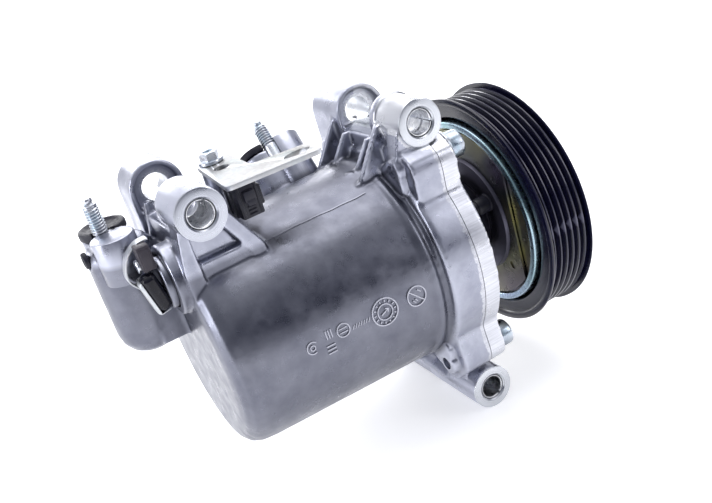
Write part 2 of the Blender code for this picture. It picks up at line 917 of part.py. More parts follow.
# ---------------------------------------------------------------- field coil
lathe(
    "field_coil",
    [
        (COIL_INNER_R, 169.5 * MM),
        (COIL_OUTER_R - 1.0 * MM, 169.5 * MM),
        (COIL_OUTER_R - 0.4 * MM, 168.5 * MM),
        (COIL_OUTER_R - 0.4 * MM, 153 * MM),
        (COIL_OUTER_R, 152.5 * MM),
        (COIL_OUTER_R, 150.4 * MM),
        (COIL_OUTER_R - 1.2 * MM, 149.2 * MM),
        (COIL_OUTER_R - 3.0 * MM, 149.2 * MM),
        (COIL_OUTER_R - 3.6 * MM, 151.2 * MM),
        (COIL_INNER_R, 151.2 * MM),
    ],
    ZINC,
)
back_plate = lathe(
    "coil_plate",
    [
        (NOSE_R + 0.4 * MM, 150.7 * MM),
        (43.0 * MM, 150.7 * MM),
        (43.0 * MM, 148.6 * MM),
        (NOSE_R + 0.4 * MM, 148.6 * MM),
    ],
    COIL_STEEL,
)
cut(
    back_plate,
    block(
        "coil_plate_flat",
        (146 * MM, -60 * MM, -60 * MM),
        (153 * MM, -34 * MM, 60 * MM),
    ),
)
smooth(back_plate)
block(
    "coil_lead",
    (142.2 * MM, -27.0 * MM, 6 * MM),
    (148.2 * MM, -22.0 * MM, 13 * MM),
    BLACK_PLASTIC,
    bevel=1.5 * MM,
)

# ---------------------------------------------------------------- pulley and its bearing
pulley_outline = [
    (PULLEY_BORE_R, 171.0 * MM),
    (PULLEY_BORE_R, PULLEY_FRONT_X - 0.4 * MM),
    (53.0 * MM, PULLEY_FRONT_X - 0.4 * MM),
    (56.0 * MM, PULLEY_FRONT_X),
    (PULLEY_RIM_R - 0.9 * MM, PULLEY_FRONT_X),
    (PULLEY_RIM_R - 0.4 * MM, PULLEY_FRONT_X - 0.5 * MM),
]
last_crest = FIRST_CREST_X + 5 * GROOVE_PITCH
for index in range(6):
    x = last_crest - index * GROOVE_PITCH
    pulley_outline += [
        (CREST_R - GROOVE_DEPTH, x + 0.50 * GROOVE_PITCH),
        (CREST_R, x),
    ]
pulley_outline += [
    (CREST_R - GROOVE_DEPTH, FIRST_CREST_X - 0.50 * GROOVE_PITCH),
    (PULLEY_RIM_R, PULLEY_BACK_X + 1.4 * MM),
    (PULLEY_RIM_R, PULLEY_BACK_X + 0.8 * MM),
    (PULLEY_RIM_R - 0.8 * MM, PULLEY_BACK_X),
    (55.0 * MM, PULLEY_BACK_X),
    (53.5 * MM, PULLEY_BACK_X + 1.2 * MM),
    (COIL_OUTER_R + 1.2 * MM, PULLEY_BACK_X + 1.2 * MM),
    (COIL_OUTER_R + 1.0 * MM, 170.5 * MM),
    (COIL_INNER_R - 0.6 * MM, 170.5 * MM),
    (COIL_INNER_R - 0.6 * MM, 153.0 * MM),
    (PULLEY_BORE_R, 153.0 * MM),
]
lathe("pulley", pulley_outline, BLACK_PAINT)
ring("coil_snap_ring", NOSE_R + 0.3 * MM, 20.0 * MM, 151.1 * MM, 152.8 * MM, STEEL)
ring("pulley_snap_ring", NOSE_R + 0.3 * MM, 19.4 * MM, 172.4 * MM, 173.8 * MM, STEEL)
ring("bearing_outer_race", 24.4 * MM, PULLEY_BORE_R - 0.3 * MM, 153.4 * MM, 172.0 * MM, STEEL)
ring("bearing_cage", 21.2 * MM, 24.1 * MM, 154.0 * MM, 171.6 * MM, RUBBER)
ring("bearing_inner_race", NOSE_R + 0.3 * MM, 20.9 * MM, 153.4 * MM, 172.0 * MM, STEEL)

# ---------------------------------------------------------------- shaft, hub and armature
lathe(
    "shaft",
    [
        (0, 189 * MM),
        (4.0 * MM, 189 * MM),
        (4.0 * MM, 177 * MM),
        (7.0 * MM, 176.5 * MM),
        (SHAFT_R, 160 * MM),
        (SHAFT_R, 16 * MM),
        (SHAFT_R - 1 * MM, 15 * MM),
        (0, 15 * MM),
    ],
    STEEL,
    steps=INNER_STEPS,
)
lathe(
    "clutch_hub",
    [
        (7.3 * MM, 176.8 * MM),
        (4.4 * MM, 177.4 * MM),
        (4.4 * MM, 183 * MM),
        (11 * MM, 183 * MM),
        (12 * MM, 182.5 * MM),
        (12 * MM, 181.2 * MM),
        (26 * MM, 181.2 * MM),
        (26 * MM, 179.2 * MM),
        (11.6 * MM, 179.2 * MM),
        (11.0 * MM, 175.6 * MM),
        (7.3 * MM, 175.6 * MM),
    ],
    STEEL,
    steps=INNER_STEPS,
)
ring("armature_plate", 27.5 * MM, 50.0 * MM, PULLEY_FRONT_X + 0.6 * MM, 178.6 * MM, STEEL)
lathe(
    "hub_nut",
    [
        (4.9 * MM, 188.2 * MM),
        (6.0 * MM, 188.2 * MM),
        (6.6 * MM, 187.6 * MM),
        (6.6 * MM, 183.3 * MM),
        (4.9 * MM, 183.3 * MM),
    ],
    ZINC,
    steps=6,
)
ring("shaft_seal", SHAFT_R + 0.3 * MM, 11.7 * MM, 150 * MM, 158 * MM, RUBBER, steps=INNER_STEPS)
ring("front_bearing", SHAFT_R + 0.3 * MM, 11.7 * MM, 122 * MM, 136 * MM, STEEL, steps=INNER_STEPS)

# ---------------------------------------------------------------- pumping unit
rotor = ring("rotor", SHAFT_R + 0.3 * MM, ROTOR_R, ROTOR_BACK_X, ROTOR_FRONT_X, STEEL)
for index in range(VANE_COUNT):
    turn = 2 * math.pi * index / VANE_COUNT
    slot_cutter = block(
        f"vane_slot_{index + 1}",
        (0, -VANE_T / 2 - GAP, SLOT_BASE_R),
        (80 * MM, VANE_T / 2 + GAP, 40 * MM),
    )
    vane = block(
        f"vane_{index + 1}",
        (ROTOR_BACK_X + GAP, -VANE_T / 2, VANE_BASE_R),
        (ROTOR_FRONT_X - GAP, VANE_T / 2, VANE_TIP_R),
        STEEL,
    )
    for obj, height, x in (
        (slot_cutter, (SLOT_BASE_R + 40 * MM) / 2, 57 * MM),
        (vane, (VANE_BASE_R + VANE_TIP_R) / 2, (ROTOR_BACK_X + ROTOR_FRONT_X) / 2),
    ):
        obj.rotation_euler = (-turn, 0, 0)
        obj.location = (x, height * math.sin(turn), height * math.cos(turn))
    cut(rotor, slot_cutter)
cam_room = prism(
    "cam_room",
    [
        (CAM_LONG * math.cos(2 * math.pi * i / 40), CAM_SHORT * math.sin(2 * math.pi * i / 40))
        for i in range(40)
    ],
    10 * MM,
    99 * MM,
    plane="YZ",
)
cylinder = ring("cylinder", 20 * MM, UNIT_R, ROTOR_BACK_X - GAP, ROTOR_FRONT_X + GAP, STEEL)
cut(cylinder, cam_room)
ring("rear_side_block", 11 * MM, UNIT_R, 14 * MM, ROTOR_BACK_X - 2 * GAP, CAST)
ring("front_side_block", SHAFT_R + 0.4 * MM, UNIT_R, ROTOR_FRONT_X + 2 * GAP, 100.6 * MM, CAST)
ring("rear_bearing", SHAFT_R + 0.3 * MM, 10.7 * MM, 15 * MM, 29 * MM, STEEL, steps=INNER_STEPS)
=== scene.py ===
"""Visual model of a belt-driven vane compressor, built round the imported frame.

Lengths below are in millimetres and are scaled to metres where a mesh is made.
+X runs along the shaft towards the pulley, +Y along the lug bolts, +Z is up.
"""

import math

import bmesh
import bpy
import numpy as np
from mathutils import Matrix, Vector


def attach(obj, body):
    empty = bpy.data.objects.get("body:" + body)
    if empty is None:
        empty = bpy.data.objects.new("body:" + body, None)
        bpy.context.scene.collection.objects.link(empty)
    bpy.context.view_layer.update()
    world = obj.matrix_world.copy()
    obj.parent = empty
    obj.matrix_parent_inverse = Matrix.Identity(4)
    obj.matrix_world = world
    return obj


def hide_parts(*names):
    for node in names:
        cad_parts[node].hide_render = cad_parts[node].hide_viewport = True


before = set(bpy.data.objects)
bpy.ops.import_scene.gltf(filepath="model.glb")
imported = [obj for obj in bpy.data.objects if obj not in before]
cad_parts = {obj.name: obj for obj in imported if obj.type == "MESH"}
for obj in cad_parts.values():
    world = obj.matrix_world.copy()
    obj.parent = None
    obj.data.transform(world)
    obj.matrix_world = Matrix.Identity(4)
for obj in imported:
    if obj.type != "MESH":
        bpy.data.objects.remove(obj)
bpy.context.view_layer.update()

MM = 0.001
VOXEL = 0.7

# Places shared with the frame.
SHAFT_AXIS = (None, 0.0, 0.0)
FT = (114.2, 65.8)
FB = (116.0, -69.3)
RT = (13.9, 68.0)
LUG_Y = -37.4
JOINT_X = 115.7
HEAD_X = (116.0, 124.0)
BOLTS = (122.6, 235.4, 302.0, 58.0)
BOLT_R = 58.0
SUCTION_LEAN = math.radians(36.0)
SUCTION_AXIS = Vector((0, math.sin(SUCTION_LEAN), math.cos(SUCTION_LEAN)))
SUCTION_SIDE = Vector((0, math.cos(SUCTION_LEAN), -math.sin(SUCTION_LEAN)))
SWITCH_Y, SWITCH_Z = -12.0, 40.0
SUCTION_BOSS_X = 81
SUCTION_PORT_X, SUCTION_PORT_SIDE = 69.5, 3
SUCTION_STUD_X, SUCTION_STUD_SIDE = 73.7, -6
DISCHARGE_STUD = (-16.6, 13)
CLAMP_X, CLAMP_Y = 37, 10
GROMMET = (-19.0, 10.2)
RIVET_R, FIRST_RIVET = 38.5, 10
PORT_BORE_R = 7.5
LUG_BORE_R = 6.2
TAPPED_R = 4.2
STUD_R = 3.4
FLANGE_R, EAR_REACH = 53.7, 66.6
# Room left round the flange for the other casting's rim.
RIM_GAP = 0.7


# --- meshes
def linked(name, data):
    obj = bpy.data.objects.new(name, data)
    bpy.context.scene.collection.objects.link(obj)
    return obj


def mesh_of(name, verts, faces):
    mesh = bpy.data.meshes.new(name)
    mesh.from_pydata([tuple(v) for v in verts], [], faces)
    return mesh


def add(name, verts, faces, angle=35.0):
    obj = linked(name, mesh_of(name, verts, faces))
    tidy(obj)
    soften(obj, angle)
    return obj


def tidy(obj, dissolve=False):
    """Merges doubled points and turns the faces outwards."""
    bm = bmesh.new()
    bm.from_mesh(obj.data)
    bmesh.ops.remove_doubles(bm, verts=bm.verts[:], dist=1e-4)
    if dissolve:
        bmesh.ops.dissolve_degenerate(bm, edges=bm.edges[:], dist=1e-5)
    bmesh.ops.recalc_face_normals(bm, faces=bm.faces[:])
    bm.to_mesh(obj.data)
    bm.free()


def soften(obj, angle=35.0):
    obj.data.shade_smooth()
    obj.data.set_sharp_from_angle(angle=math.radians(angle))
    return obj


def facing(direction):
    return Vector(direction).normalized().to_track_quat("Z", "Y").to_matrix().to_4x4()


def moved(obj, origin, direction=(0, 0, 1)):
    """Stands the piece on origin with its +Z along direction."""
    obj.data.transform(Matrix.Translation(Vector(origin)) @ facing(direction))
    return obj


def turned(name, profile, origin=(0, 0, 0), direction=(1, 0, 0), segments=64, angle=35.0):
    """A turned piece from (radius, height) pairs. A profile off the axis is closed on itself."""
    count = len(profile)
    angles = [2 * math.pi * i / segments for i in range(segments)]
    verts = [(r * math.cos(a), r * math.sin(a), h) for a in angles for r, h in profile]
    loop = profile[0][0] > 0 or profile[-1][0] > 0
    faces = []
    for i in range(segments):
        j = (i + 1) % segments
        for k in range(count if loop else count - 1):
            m = (k + 1) % count
            faces.append((i * count + k, j * count + k, j * count + m, i * count + m))
    obj = moved(linked(name, mesh_of(name, verts, faces)), origin, direction)
    tidy(obj, dissolve=True)
    return soften(obj, angle)


def bar(name, radius, start, end, segments=48, edge=0.4):
    start, end = Vector(start), Vector(end)
    length = (end - start).length
    profile = [
        (0, length),
        (radius - edge, length),
        (radius - 0.3 * edge, length - 0.3 * edge),
        (radius, length - edge),
        (radius, edge),
        (radius - 0.3 * edge, 0.3 * edge),
        (radius - edge, 0),
        (0, 0),
    ]
    return turned(name, profile, start, end - start, segments)


def slab(name, outline, low, high, plane="XZ", edge=0.0, segments=2):
    places = {
        "XZ": lambda a, b, c: (a, c, b),
        "XY": lambda a, b, c: (a, b, c),
        "YZ": lambda a, b, c: (c, a, b),
    }
    place = places[plane]
    count = len(outline)
    verts = [place(a, b, low) for a, b in outline] + [place(a, b, high) for a, b in outline]
    faces = [tuple(range(count)), tuple(range(2 * count - 1, count - 1, -1))]
    faces += [(i, (i + 1) % count, (i + 1) % count + count, i + count) for i in range(count)]
    obj = add(name, verts, faces)
    if edge:
        round_edges(obj, edge, segments)
    return obj


def round_edges(obj, width, segments=2, angle=30.0):
    bevel = obj.modifiers.new("round", "BEVEL")
    bevel.width = width
    bevel.segments = segments
    bevel.limit_method = "ANGLE"
    bevel.angle_limit = math.radians(angle)
    return soften(settled(obj), 40.0)


def box(name, low, high, edge=0.0, segments=2):
    (x0, y0, z0), (x1, y1, z1) = low, high
    outline = [(x0, y0), (x1, y0), (x1, y1), (x0, y1)]
    return slab(name, outline, z0, z1, "XY", edge, segments)


def arch(centre, radius, foot, count=24):
    cx, cz = centre
    points = [(cx - radius, foot), (cx + radius, foot)]
    for i in range(count + 1):
        a = math.pi * i / count
        points.append((cx + radius * math.cos(a), cz + radius * math.sin(a)))
    return points


def settled(obj):
    """Writes the object's modifiers into its mesh."""
    graph = bpy.context.evaluated_depsgraph_get()
    mesh = bpy.data.meshes.new_from_object(obj.evaluated_get(graph))
    obj.modifiers.clear()
    obj.data = mesh
    return obj


def joined(name, objs):
    bm = bmesh.new()
    for obj in objs:
        bm.from_mesh(obj.data)
        bpy.data.objects.remove(obj)
    mesh = bpy.data.meshes.new(name)
    bm.to_mesh(mesh)
    bm.free()
    return linked(name, mesh)


def boolean(obj, others, operation):
    for other in others:
        modifier = obj.modifiers.new("join", "BOOLEAN")
        modifier.operation = operation
        modifier.solver = "MANIFOLD"
        modifier.object = other
    settled(obj)
    for other in others:
        bpy.data.objects.remove(other)
    return obj


def cut(obj, cutters):
    return boolean(obj, cutters, "DIFFERENCE")


def cast(name, blanks, passes=7):
    """Blanks melted into one casting: their union with rounded edges and inner corners."""
    obj = joined(name, blanks)
    remesh = obj.modifiers.new("melt", "REMESH")
    remesh.mode = "VOXEL"
    remesh.voxel_size = VOXEL
    remesh.use_smooth_shade = True
    settled(obj)
    smooth = obj.modifiers.new("smooth", "SMOOTH")
    smooth.factor = 0.5
    smooth.iterations = passes
    return settled(obj)


def circle(radius, degrees):
    a = math.radians(degrees)
    return radius * math.cos(a), radius * math.sin(a)


def off_casing(x, height, side=0.0):
    return Vector((x, 0, 0)) + SUCTION_AXIS * height + SUCTION_SIDE * side


def off_port(height):
    return off_casing(SUCTION_PORT_X, height, SUCTION_PORT_SIDE)


def off_stud(height):
    return off_casing(SUCTION_STUD_X, height, SUCTION_STUD_SIDE)


def at_bolt(x, angle, radius=BOLT_R):
    """A point x along the shaft, on the circle of the head's screws."""
    return (x, *circle(radius, angle))


def finish_piece(obj, body, paint, nodes=()):
    """Scales the piece to metres, paints it, and hangs it on its body."""
    obj.data.transform(Matrix.Scale(MM, 4))
    paints = paint if isinstance(paint, (list, tuple)) else [paint]
    held = np.zeros(len(obj.data.polygons), dtype=np.int32)
    if len(paints) > 1:
        obj.data.polygons.foreach_get("material_index", held)
    obj.data.materials.clear()
    for one in paints:
        obj.data.materials.append(one)
    obj.data.polygons.foreach_set("material_index", held)
    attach(obj, body)
    if nodes:
        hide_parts(*nodes)
    return obj


def fixed(obj, paint, slot, *nodes):
    """Finishes a piece of the housing."""
    return finish_piece(obj, "housing", paint, nodes)


# --- materials
class Paint:
    """A Principled material whose colour, roughness and bump come from noise."""

    def __init__(self, name, colour, metallic=0.0, roughness=0.5, coat=0.0):
        self.mat = bpy.data.materials.new(name)
        self.mat.use_nodes = True
        self.nodes = self.mat.node_tree.nodes
        self.links = self.mat.node_tree.links
        self.bsdf = self.nodes["Principled BSDF"]
        self.bsdf.inputs["Base Color"].default_value = (*colour, 1)
        self.bsdf.inputs["Metallic"].default_value = metallic
        self.bsdf.inputs["Roughness"].default_value = roughness
        self.bsdf.inputs["Coat Weight"].default_value = coat
        self.bsdf.inputs["Coat Roughness"].default_value = 0.15
        self.coords = self.node("TexCoord").outputs["Object"]
        self.normal = None

    def node(self, kind, **values):
        """A new shader node, with values for the inputs that are named."""
        made = self.nodes.new(f"ShaderNode{kind}")
        for name, value in values.items():
            made.inputs[name.replace("_", " ")].default_value = value
        return made

    def noise(self, scale, detail=3.0, stretch=(1, 1, 1), rough=0.5):
        mapping = self.node("Mapping", Scale=stretch)
        self.links.new(self.coords, mapping.inputs["Vector"])
        node = self.node("TexNoise", Scale=scale, Detail=detail, Roughness=rough)
        self.links.new(mapping.outputs["Vector"], node.inputs["Vector"])
        return node.outputs["Fac"]

    def ramp(self, value, stops):
        node = self.node("ValToRGB")
        while len(node.color_ramp.elements) < len(stops):
            node.color_ramp.elements.new(0.5)
        for element, (place, colour) in zip(node.color_ramp.elements, stops):
            element.position = place
            element.color = (*colour, 1)
        self.links.new(value, node.inputs["Fac"])
        return node.outputs["Color"]

    def spread(self, value, low, high, start=0.3, end=0.7):
        """The value stretched from start..end to low..high."""
        node = self.node("MapRange", From_Min=start, From_Max=end, To_Min=low, To_Max=high)
        self.links.new(value, node.inputs["Value"])
        return node.outputs["Result"]

    def mix(self, a, b, factor, mode="MIX"):
        node = self.node("Mix")
        node.data_type = "RGBA"
        node.blend_type = mode
        for value, socket in ((a, node.inputs[6]), (b, node.inputs[7])):
            if isinstance(value, tuple):
                socket.default_value = (*value, 1)
            else:
                self.links.new(value, socket)
        if isinstance(factor, float):
            node.inputs[0].default_value = factor
        else:
            self.links.new(factor, node.inputs[0])
        return node.outputs[2]

    def math(self, operation, a, b=None):
        node = self.node("Math")
        node.operation = operation
        for value, socket in ((a, node.inputs[0]), (b, node.inputs[1])):
            if value is None:
                continue
            if isinstance(value, (int, float)):
                socket.default_value = value
            else:
                self.links.new(value, socket)
        return node.outputs[0]

    def edges(self, low=0.50, high=0.56):
        """1 along the outer edges and 0 elsewhere: the mask of the painted edge highlights."""
        node = self.node("NewGeometry")
        return self.spread(node.outputs["Pointiness"], 0.0, 1.0, low, high)

    def corner_shade(self, low=0.42, high=0.49):
        """1 in the inner corners, where shade is painted, and 0 elsewhere."""
        node = self.node("NewGeometry")
        return self.spread(node.outputs["Pointiness"], 1.0, 0.0, low, high)

    def radius(self, x=None, y=None, z=None):
        """Distance in metres from the line through the two given coordinates."""
        split = self.node("SeparateXYZ")
        self.links.new(self.coords, split.inputs["Vector"])
        squares = []
        for value, socket in ((x, "X"), (y, "Y"), (z, "Z")):
            if value is None:
                continue
            offset = self.math("SUBTRACT", split.outputs[socket], value * MM)
            squares.append(self.math("MULTIPLY", offset, offset))
        return self.math("SQRT", self.math("ADD", *squares))

    def turning(self, distance, pitch):
        """Fine random rings about an axis, as a lathe tool leaves them."""
        node = self.node("TexNoise", Scale=1.0, Detail=2.0)
        node.noise_dimensions = "1D"
        self.links.new(self.math("DIVIDE", distance, pitch * MM), node.inputs["W"])
        return node.outputs["Fac"]

    def bump(self, height, strength, distance):
        node = self.node("Bump", Strength=strength, Distance=distance * MM)
        self.links.new(height, node.inputs["Height"])
        if self.normal is not None:
            self.links.new(self.normal, node.inputs["Normal"])
        self.normal = node.outputs["Normal"]
        self.links.new(self.normal, self.bsdf.inputs["Normal"])

    def colour(self, socket):
        self.links.new(socket, self.bsdf.inputs["Base Color"])

    def rough(self, socket):
        self.links.new(socket, self.bsdf.inputs["Roughness"])


# How much brighter than the barrel the ears, lugs and ribs are painted, to match the photograph.
PAINTED_LIGHT_GAIN = (2.25, 2.25, 2.20)
RAISED_FROM = (50.8 * MM, 53.4 * MM)


def scaled(colour, factor):
    return tuple(min(1.0, factor * c) for c in colour)


def cast_paint(name, dark, light, roughness):
    paint = Paint(name, light, metallic=0.97, roughness=roughness)
    cloud = paint.noise(60.0, 6.0, rough=0.6)
    colour = paint.ramp(cloud, [(0.34, dark), (0.66, light)])
    specks = paint.noise(900.0, 2.0)
    colour = paint.mix(colour, scaled(dark, 0.62), paint.spread(specks, 0.0, 0.25, 0.70, 0.80))
    # Painted highlight: the outer edges get a lighter copy of the light tone.
    colour = paint.mix(colour, scaled(light, 1.22), paint.edges())
    # Painted shade: the inner corners get a darker copy of the dark tone.
    colour = paint.mix(colour, scaled(dark, 0.42), paint.corner_shade())
    # Painted light: the ears, lugs and ribs, beyond about 52 mm from the shaft's axis, get a lit
    # copy of the barrel's colour.
    raised = paint.spread(paint.radius(*SHAFT_AXIS), 0.0, 1.0, *RAISED_FROM)
    paint.colour(paint.mix(colour, PAINTED_LIGHT_GAIN, raised, "MULTIPLY"))
    paint.rough(paint.spread(paint.noise(160.0, 4.0), roughness - 0.07, roughness + 0.10))
    paint.bump(paint.noise(2600.0, 2.0), 0.16, 0.10)
    paint.bump(paint.noise(420.0, 3.0), 0.10, 0.30)
    paint.bump(paint.noise(70.0, 2.0), 0.07, 0.8)
    return paint


def milled(paint, colour, mask):
    """Lays bright milled metal with tool marks along X over a paint where the mask is 1."""
    marks = paint.noise(1500.0, 3.0, (0.05, 1, 1))
    bright = paint.mix(scaled(colour, 0.80), colour, paint.spread(marks, 0.0, 1.0, 0.35, 0.65))
    held = paint.bsdf.inputs["Base Color"].links[0].from_socket
    paint.colour(paint.mix(held, bright, mask))
    depth = paint.math("MULTIPLY", marks, mask)
    paint.bump(depth, 0.15, 0.08)
    return paint.mat


def past(paint, start, wobble):
    """1 beyond a place on the shaft's axis, with a ragged border, on the rim of the flange."""
    split = paint.node("SeparateXYZ")
    paint.links.new(paint.coords, split.inputs["Vector"])
    ragged = paint.math("MULTIPLY", paint.noise(260.0, 4.0), wobble * MM)
    along = paint.math("ADD", split.outputs["X"], ragged)
    mask = paint.spread(along, 0.0, 1.0, (start - 0.15) * MM, (start + 0.15) * MM)
    out = paint.spread(paint.radius(*SHAFT_AXIS), 0.0, 1.0, 51.5 * MM, 52.2 * MM)
    return paint.math("MULTIPLY", mask, out)


def machined_paint(name, colour, centre, roughness=0.27):
    """Turned metal with tool rings about the axis through centre, (x, y, z) with one None."""
    paint = Paint(name, colour, metallic=0.95, roughness=roughness)
    rings = paint.turning(paint.radius(*centre), 0.30)
    wide = paint.noise(90.0, 3.0)
    paint.colour(paint.mix(scaled(colour, 0.72), colour, paint.spread(rings, 0.2, 1.0)))
    paint.rough(paint.spread(wide, roughness - 0.08, roughness + 0.12))
    paint.bump(rings, 0.35, 0.05)
    return paint.mat


def zinc_paint(name, base=(0.62, 0.67, 0.74), roughness=0.3):
    paint = Paint(name, base, metallic=1.0, roughness=roughness)
    film = paint.noise(120.0, 3.0)
    tint = paint.ramp(
        film,
        [
            (0.30, scaled(base, 0.72)),
            (0.48, base),
            (0.60, (base[0] * 0.92, base[1] * 1.05, base[2] * 1.08)),
            (0.74, (base[0] * 1.06, base[1] * 0.98, base[2] * 1.05)),
        ],
    )
    # Painted highlight: the outer edges are painted near-white.
    paint.colour(paint.mix(tint, (0.92, 0.94, 0.98), paint.edges(0.51, 0.60)))
    paint.rough(paint.spread(paint.noise(500.0, 3.0), roughness - 0.08, roughness + 0.12))
    paint.bump(paint.noise(1500.0, 2.0), 0.12, 0.06)
    return paint.mat


def steel_paint(name, base, centre=None):
    paint = Paint(name, base, metallic=1.0, roughness=0.28)
    streak = paint.noise(250.0, 4.0, (1, 1, 1))
    if centre:
        streak = paint.turning(paint.radius(*centre), 0.4)
    paint.colour(paint.mix(scaled(base, 0.65), base, paint.spread(streak, 0.0, 1.0)))
    paint.rough(paint.spread(paint.noise(300.0, 3.0), 0.2, 0.38))
    paint.bump(streak, 0.15, 0.04)
    return paint.mat


def plastic_paint(name, base, roughness):
    paint = Paint(name, base, roughness=roughness)
    paint.bsdf.inputs["Specular IOR Level"].default_value = 0.3
    # Painted highlight: the outer edges are painted a little lighter.
    paint.colour(
        paint.mix(
            paint.mix(scaled(base, 0.6), scaled(base, 1.5), paint.noise(150.0, 3.0)),
            tuple(min(1.0, c + 0.03) for c in base), paint.edges(0.53, 0.64),
        ),
    )
    paint.rough(paint.spread(paint.noise(600.0, 3.0), roughness - 0.1, roughness + 0.12))
    paint.bump(paint.noise(2200.0, 2.0), 0.15, 0.06)
    return paint.mat


CAST = cast_paint("cast_aluminium", (0.130, 0.135, 0.168), (0.190, 0.196, 0.232), 0.31).mat
# Painted shade: a darker copy of the cast aluminium, for the head's nose and the middle of the
# coil plate, which lie in shade.
CAST_SHADED = cast_paint("cast_nose_painted_shade", (0.055, 0.054, 0.072), (0.095, 0.092, 0.120), 0.4).mat
CASING_CAST = cast_paint("casing_aluminium", (0.130, 0.135, 0.168), (0.190, 0.196, 0.232), 0.31)
CASING_CAST = milled(CASING_CAST, (0.58, 0.59, 0.64), past(CASING_CAST, 116.4, 4.6))
HEAD_CAST = cast_paint("head_aluminium", (0.130, 0.135, 0.168), (0.190, 0.196, 0.232), 0.31)
HEAD_CAST = milled(HEAD_CAST, (0.66, 0.67, 0.72), past(HEAD_CAST, 110.0, 1.0))
FT_BARREL = machined_paint("machined_barrel", (0.64, 0.65, 0.69), (FT[0], None, FT[1]), 0.3)
FACE_FT = machined_paint("machined_face_front_top", (0.66, 0.68, 0.72), (FT[0], None, FT[1]))
FACE_FB = machined_paint("machined_face_front_bottom", (0.66, 0.68, 0.72), (FB[0], None, FB[1]))
FACE_RT = machined_paint("machined_face_rear_top", (0.56, 0.58, 0.64), (RT[0], None, RT[1]))
FACE_JOINT = machined_paint("machined_joint", (0.46, 0.48, 0.55), SHAFT_AXIS, 0.33)
ZINC = zinc_paint("zinc_plated_steel", (0.40, 0.44, 0.50))
ZINC_BRIGHT = zinc_paint("zinc_plated_bright", (0.50, 0.52, 0.57))
SHEET_ZINC = zinc_paint("zinc_plated_sheet", (0.24, 0.235, 0.23), 0.48)
STEEL = steel_paint("bright_steel", (0.86, 0.87, 0.90))
SHAFT_STEEL = steel_paint("ground_steel", (0.60, 0.60, 0.62), SHAFT_AXIS)
BLACK_PLASTIC = plastic_paint("black_plastic", (0.010, 0.010, 0.020), 0.40)
BROWN_PLASTIC = plastic_paint("brown_plastic", (0.040, 0.034, 0.045), 0.45)
RUBBER = plastic_paint("black_rubber", (0.008, 0.008, 0.018), 0.50)


def pulley_paint():
    paint = Paint(
        "black_painted_steel", (0.004, 0.004, 0.012), metallic=0.0, roughness=0.22, coat=0.22,
    )
    paint.bsdf.inputs["Specular IOR Level"].default_value = 0.34
    base = paint.mix((0.003, 0.003, 0.015), (0.005, 0.005, 0.023), paint.noise(60.0, 4.0))
    # Painted highlight: the edges and groove crests are painted a lighter blue-grey.
    paint.colour(paint.mix(base, (0.10, 0.10, 0.15), paint.edges(0.54, 0.62)))
    paint.rough(paint.spread(paint.noise(90.0, 3.0), 0.17, 0.25))
    paint.bump(paint.turning(paint.radius(*SHAFT_AXIS), 0.6), 0.03, 0.03)
    paint.bump(paint.noise(500.0, 2.0), 0.02, 0.05)
    return paint.mat


def coil_paint():
    paint = Paint("iridescent_zinc", (0.72, 0.78, 0.84), metallic=1.0, roughness=0.26)
    film = paint.noise(16.0, 2.0)
    colour = paint.ramp(
        film,
        [
            (0.30, (0.40, 0.36, 0.56)), (0.42, (0.36, 0.46, 0.58)), (0.52, (0.42, 0.55, 0.64)),
            (0.62, (0.34, 0.52, 0.54)), (0.74, (0.46, 0.40, 0.60)),
        ],
    )
    paint.colour(colour)
    paint.rough(paint.spread(paint.noise(300.0, 3.0), 0.2, 0.36))
    paint.bump(paint.turning(paint.radius(*SHAFT_AXIS), 0.5), 0.12, 0.05)
    return paint.mat


def plate_paint():
    paint = Paint("olive_passivated_steel", (0.40, 0.37, 0.24), metallic=1.0, roughness=0.34)
    film = paint.noise(20.0, 2.0)
    colour = paint.ramp(
        film,
        [
            (0.30, (0.095, 0.080, 0.110)), (0.44, (0.150, 0.135, 0.120)),
            (0.55, (0.310, 0.300, 0.180)), (0.64, (0.190, 0.200, 0.190)),
            (0.76, (0.190, 0.145, 0.250)),
        ],
    )
    paint.colour(colour)
    paint.rough(paint.spread(paint.noise(120.0, 3.0), 0.24, 0.36))
    paint.bump(paint.noise(700.0, 2.0), 0.05, 0.06)
    return paint.mat


GLOSS_BLACK = plastic_paint("gloss_black", (0.006, 0.006, 0.012), 0.16)
STEEL_DARK = steel_paint("armature_steel", (0.34, 0.33, 0.34), SHAFT_AXIS)
HUB_STEEL = steel_paint("hub_steel", (0.50, 0.50, 0.51), SHAFT_AXIS)
# Painted highlight: the raised cast marks get a lighter copy of the cast aluminium.
CAST_MARK = cast_paint("cast_marks_aluminium", (0.24, 0.245, 0.285), (0.35, 0.355, 0.40), 0.34).mat
PULLEY_BLACK = pulley_paint()
COIL_ZINC = coil_paint()
COIL_OLIVE = plate_paint()

def flange_outline(radius, reach, count=240):
    """The flange with its four screw ears, as points in (y, z)."""
    points = []
    for i in range(count):
        angle = 360 * i / count
        bump = 0.0
        for bolt in BOLTS:
            off = abs((angle - bolt + 180) % 360 - 180)
            t = min(1.0, max(0.0, (off - 5.0) / 15.0))
            bump = max(bump, 1 - t * t * (3 - 2 * t))
        points.append(circle(radius + (reach - radius) * bump, angle))
    return points


# --- casing
FTX, FTZ = FT
FBX, FBZ = FB
RTX, RTZ = RT


def ear_with_recess(name, centre, radius, foot, low, high, pocket_radius, pocket_foot, pocket_end):
    ear = slab(name, arch(centre, radius, foot), low, high)
    pocket = slab(f"{name}_pocket", arch(centre, pocket_radius, pocket_foot), low - 4, pocket_end)
    return cut(ear, [pocket])


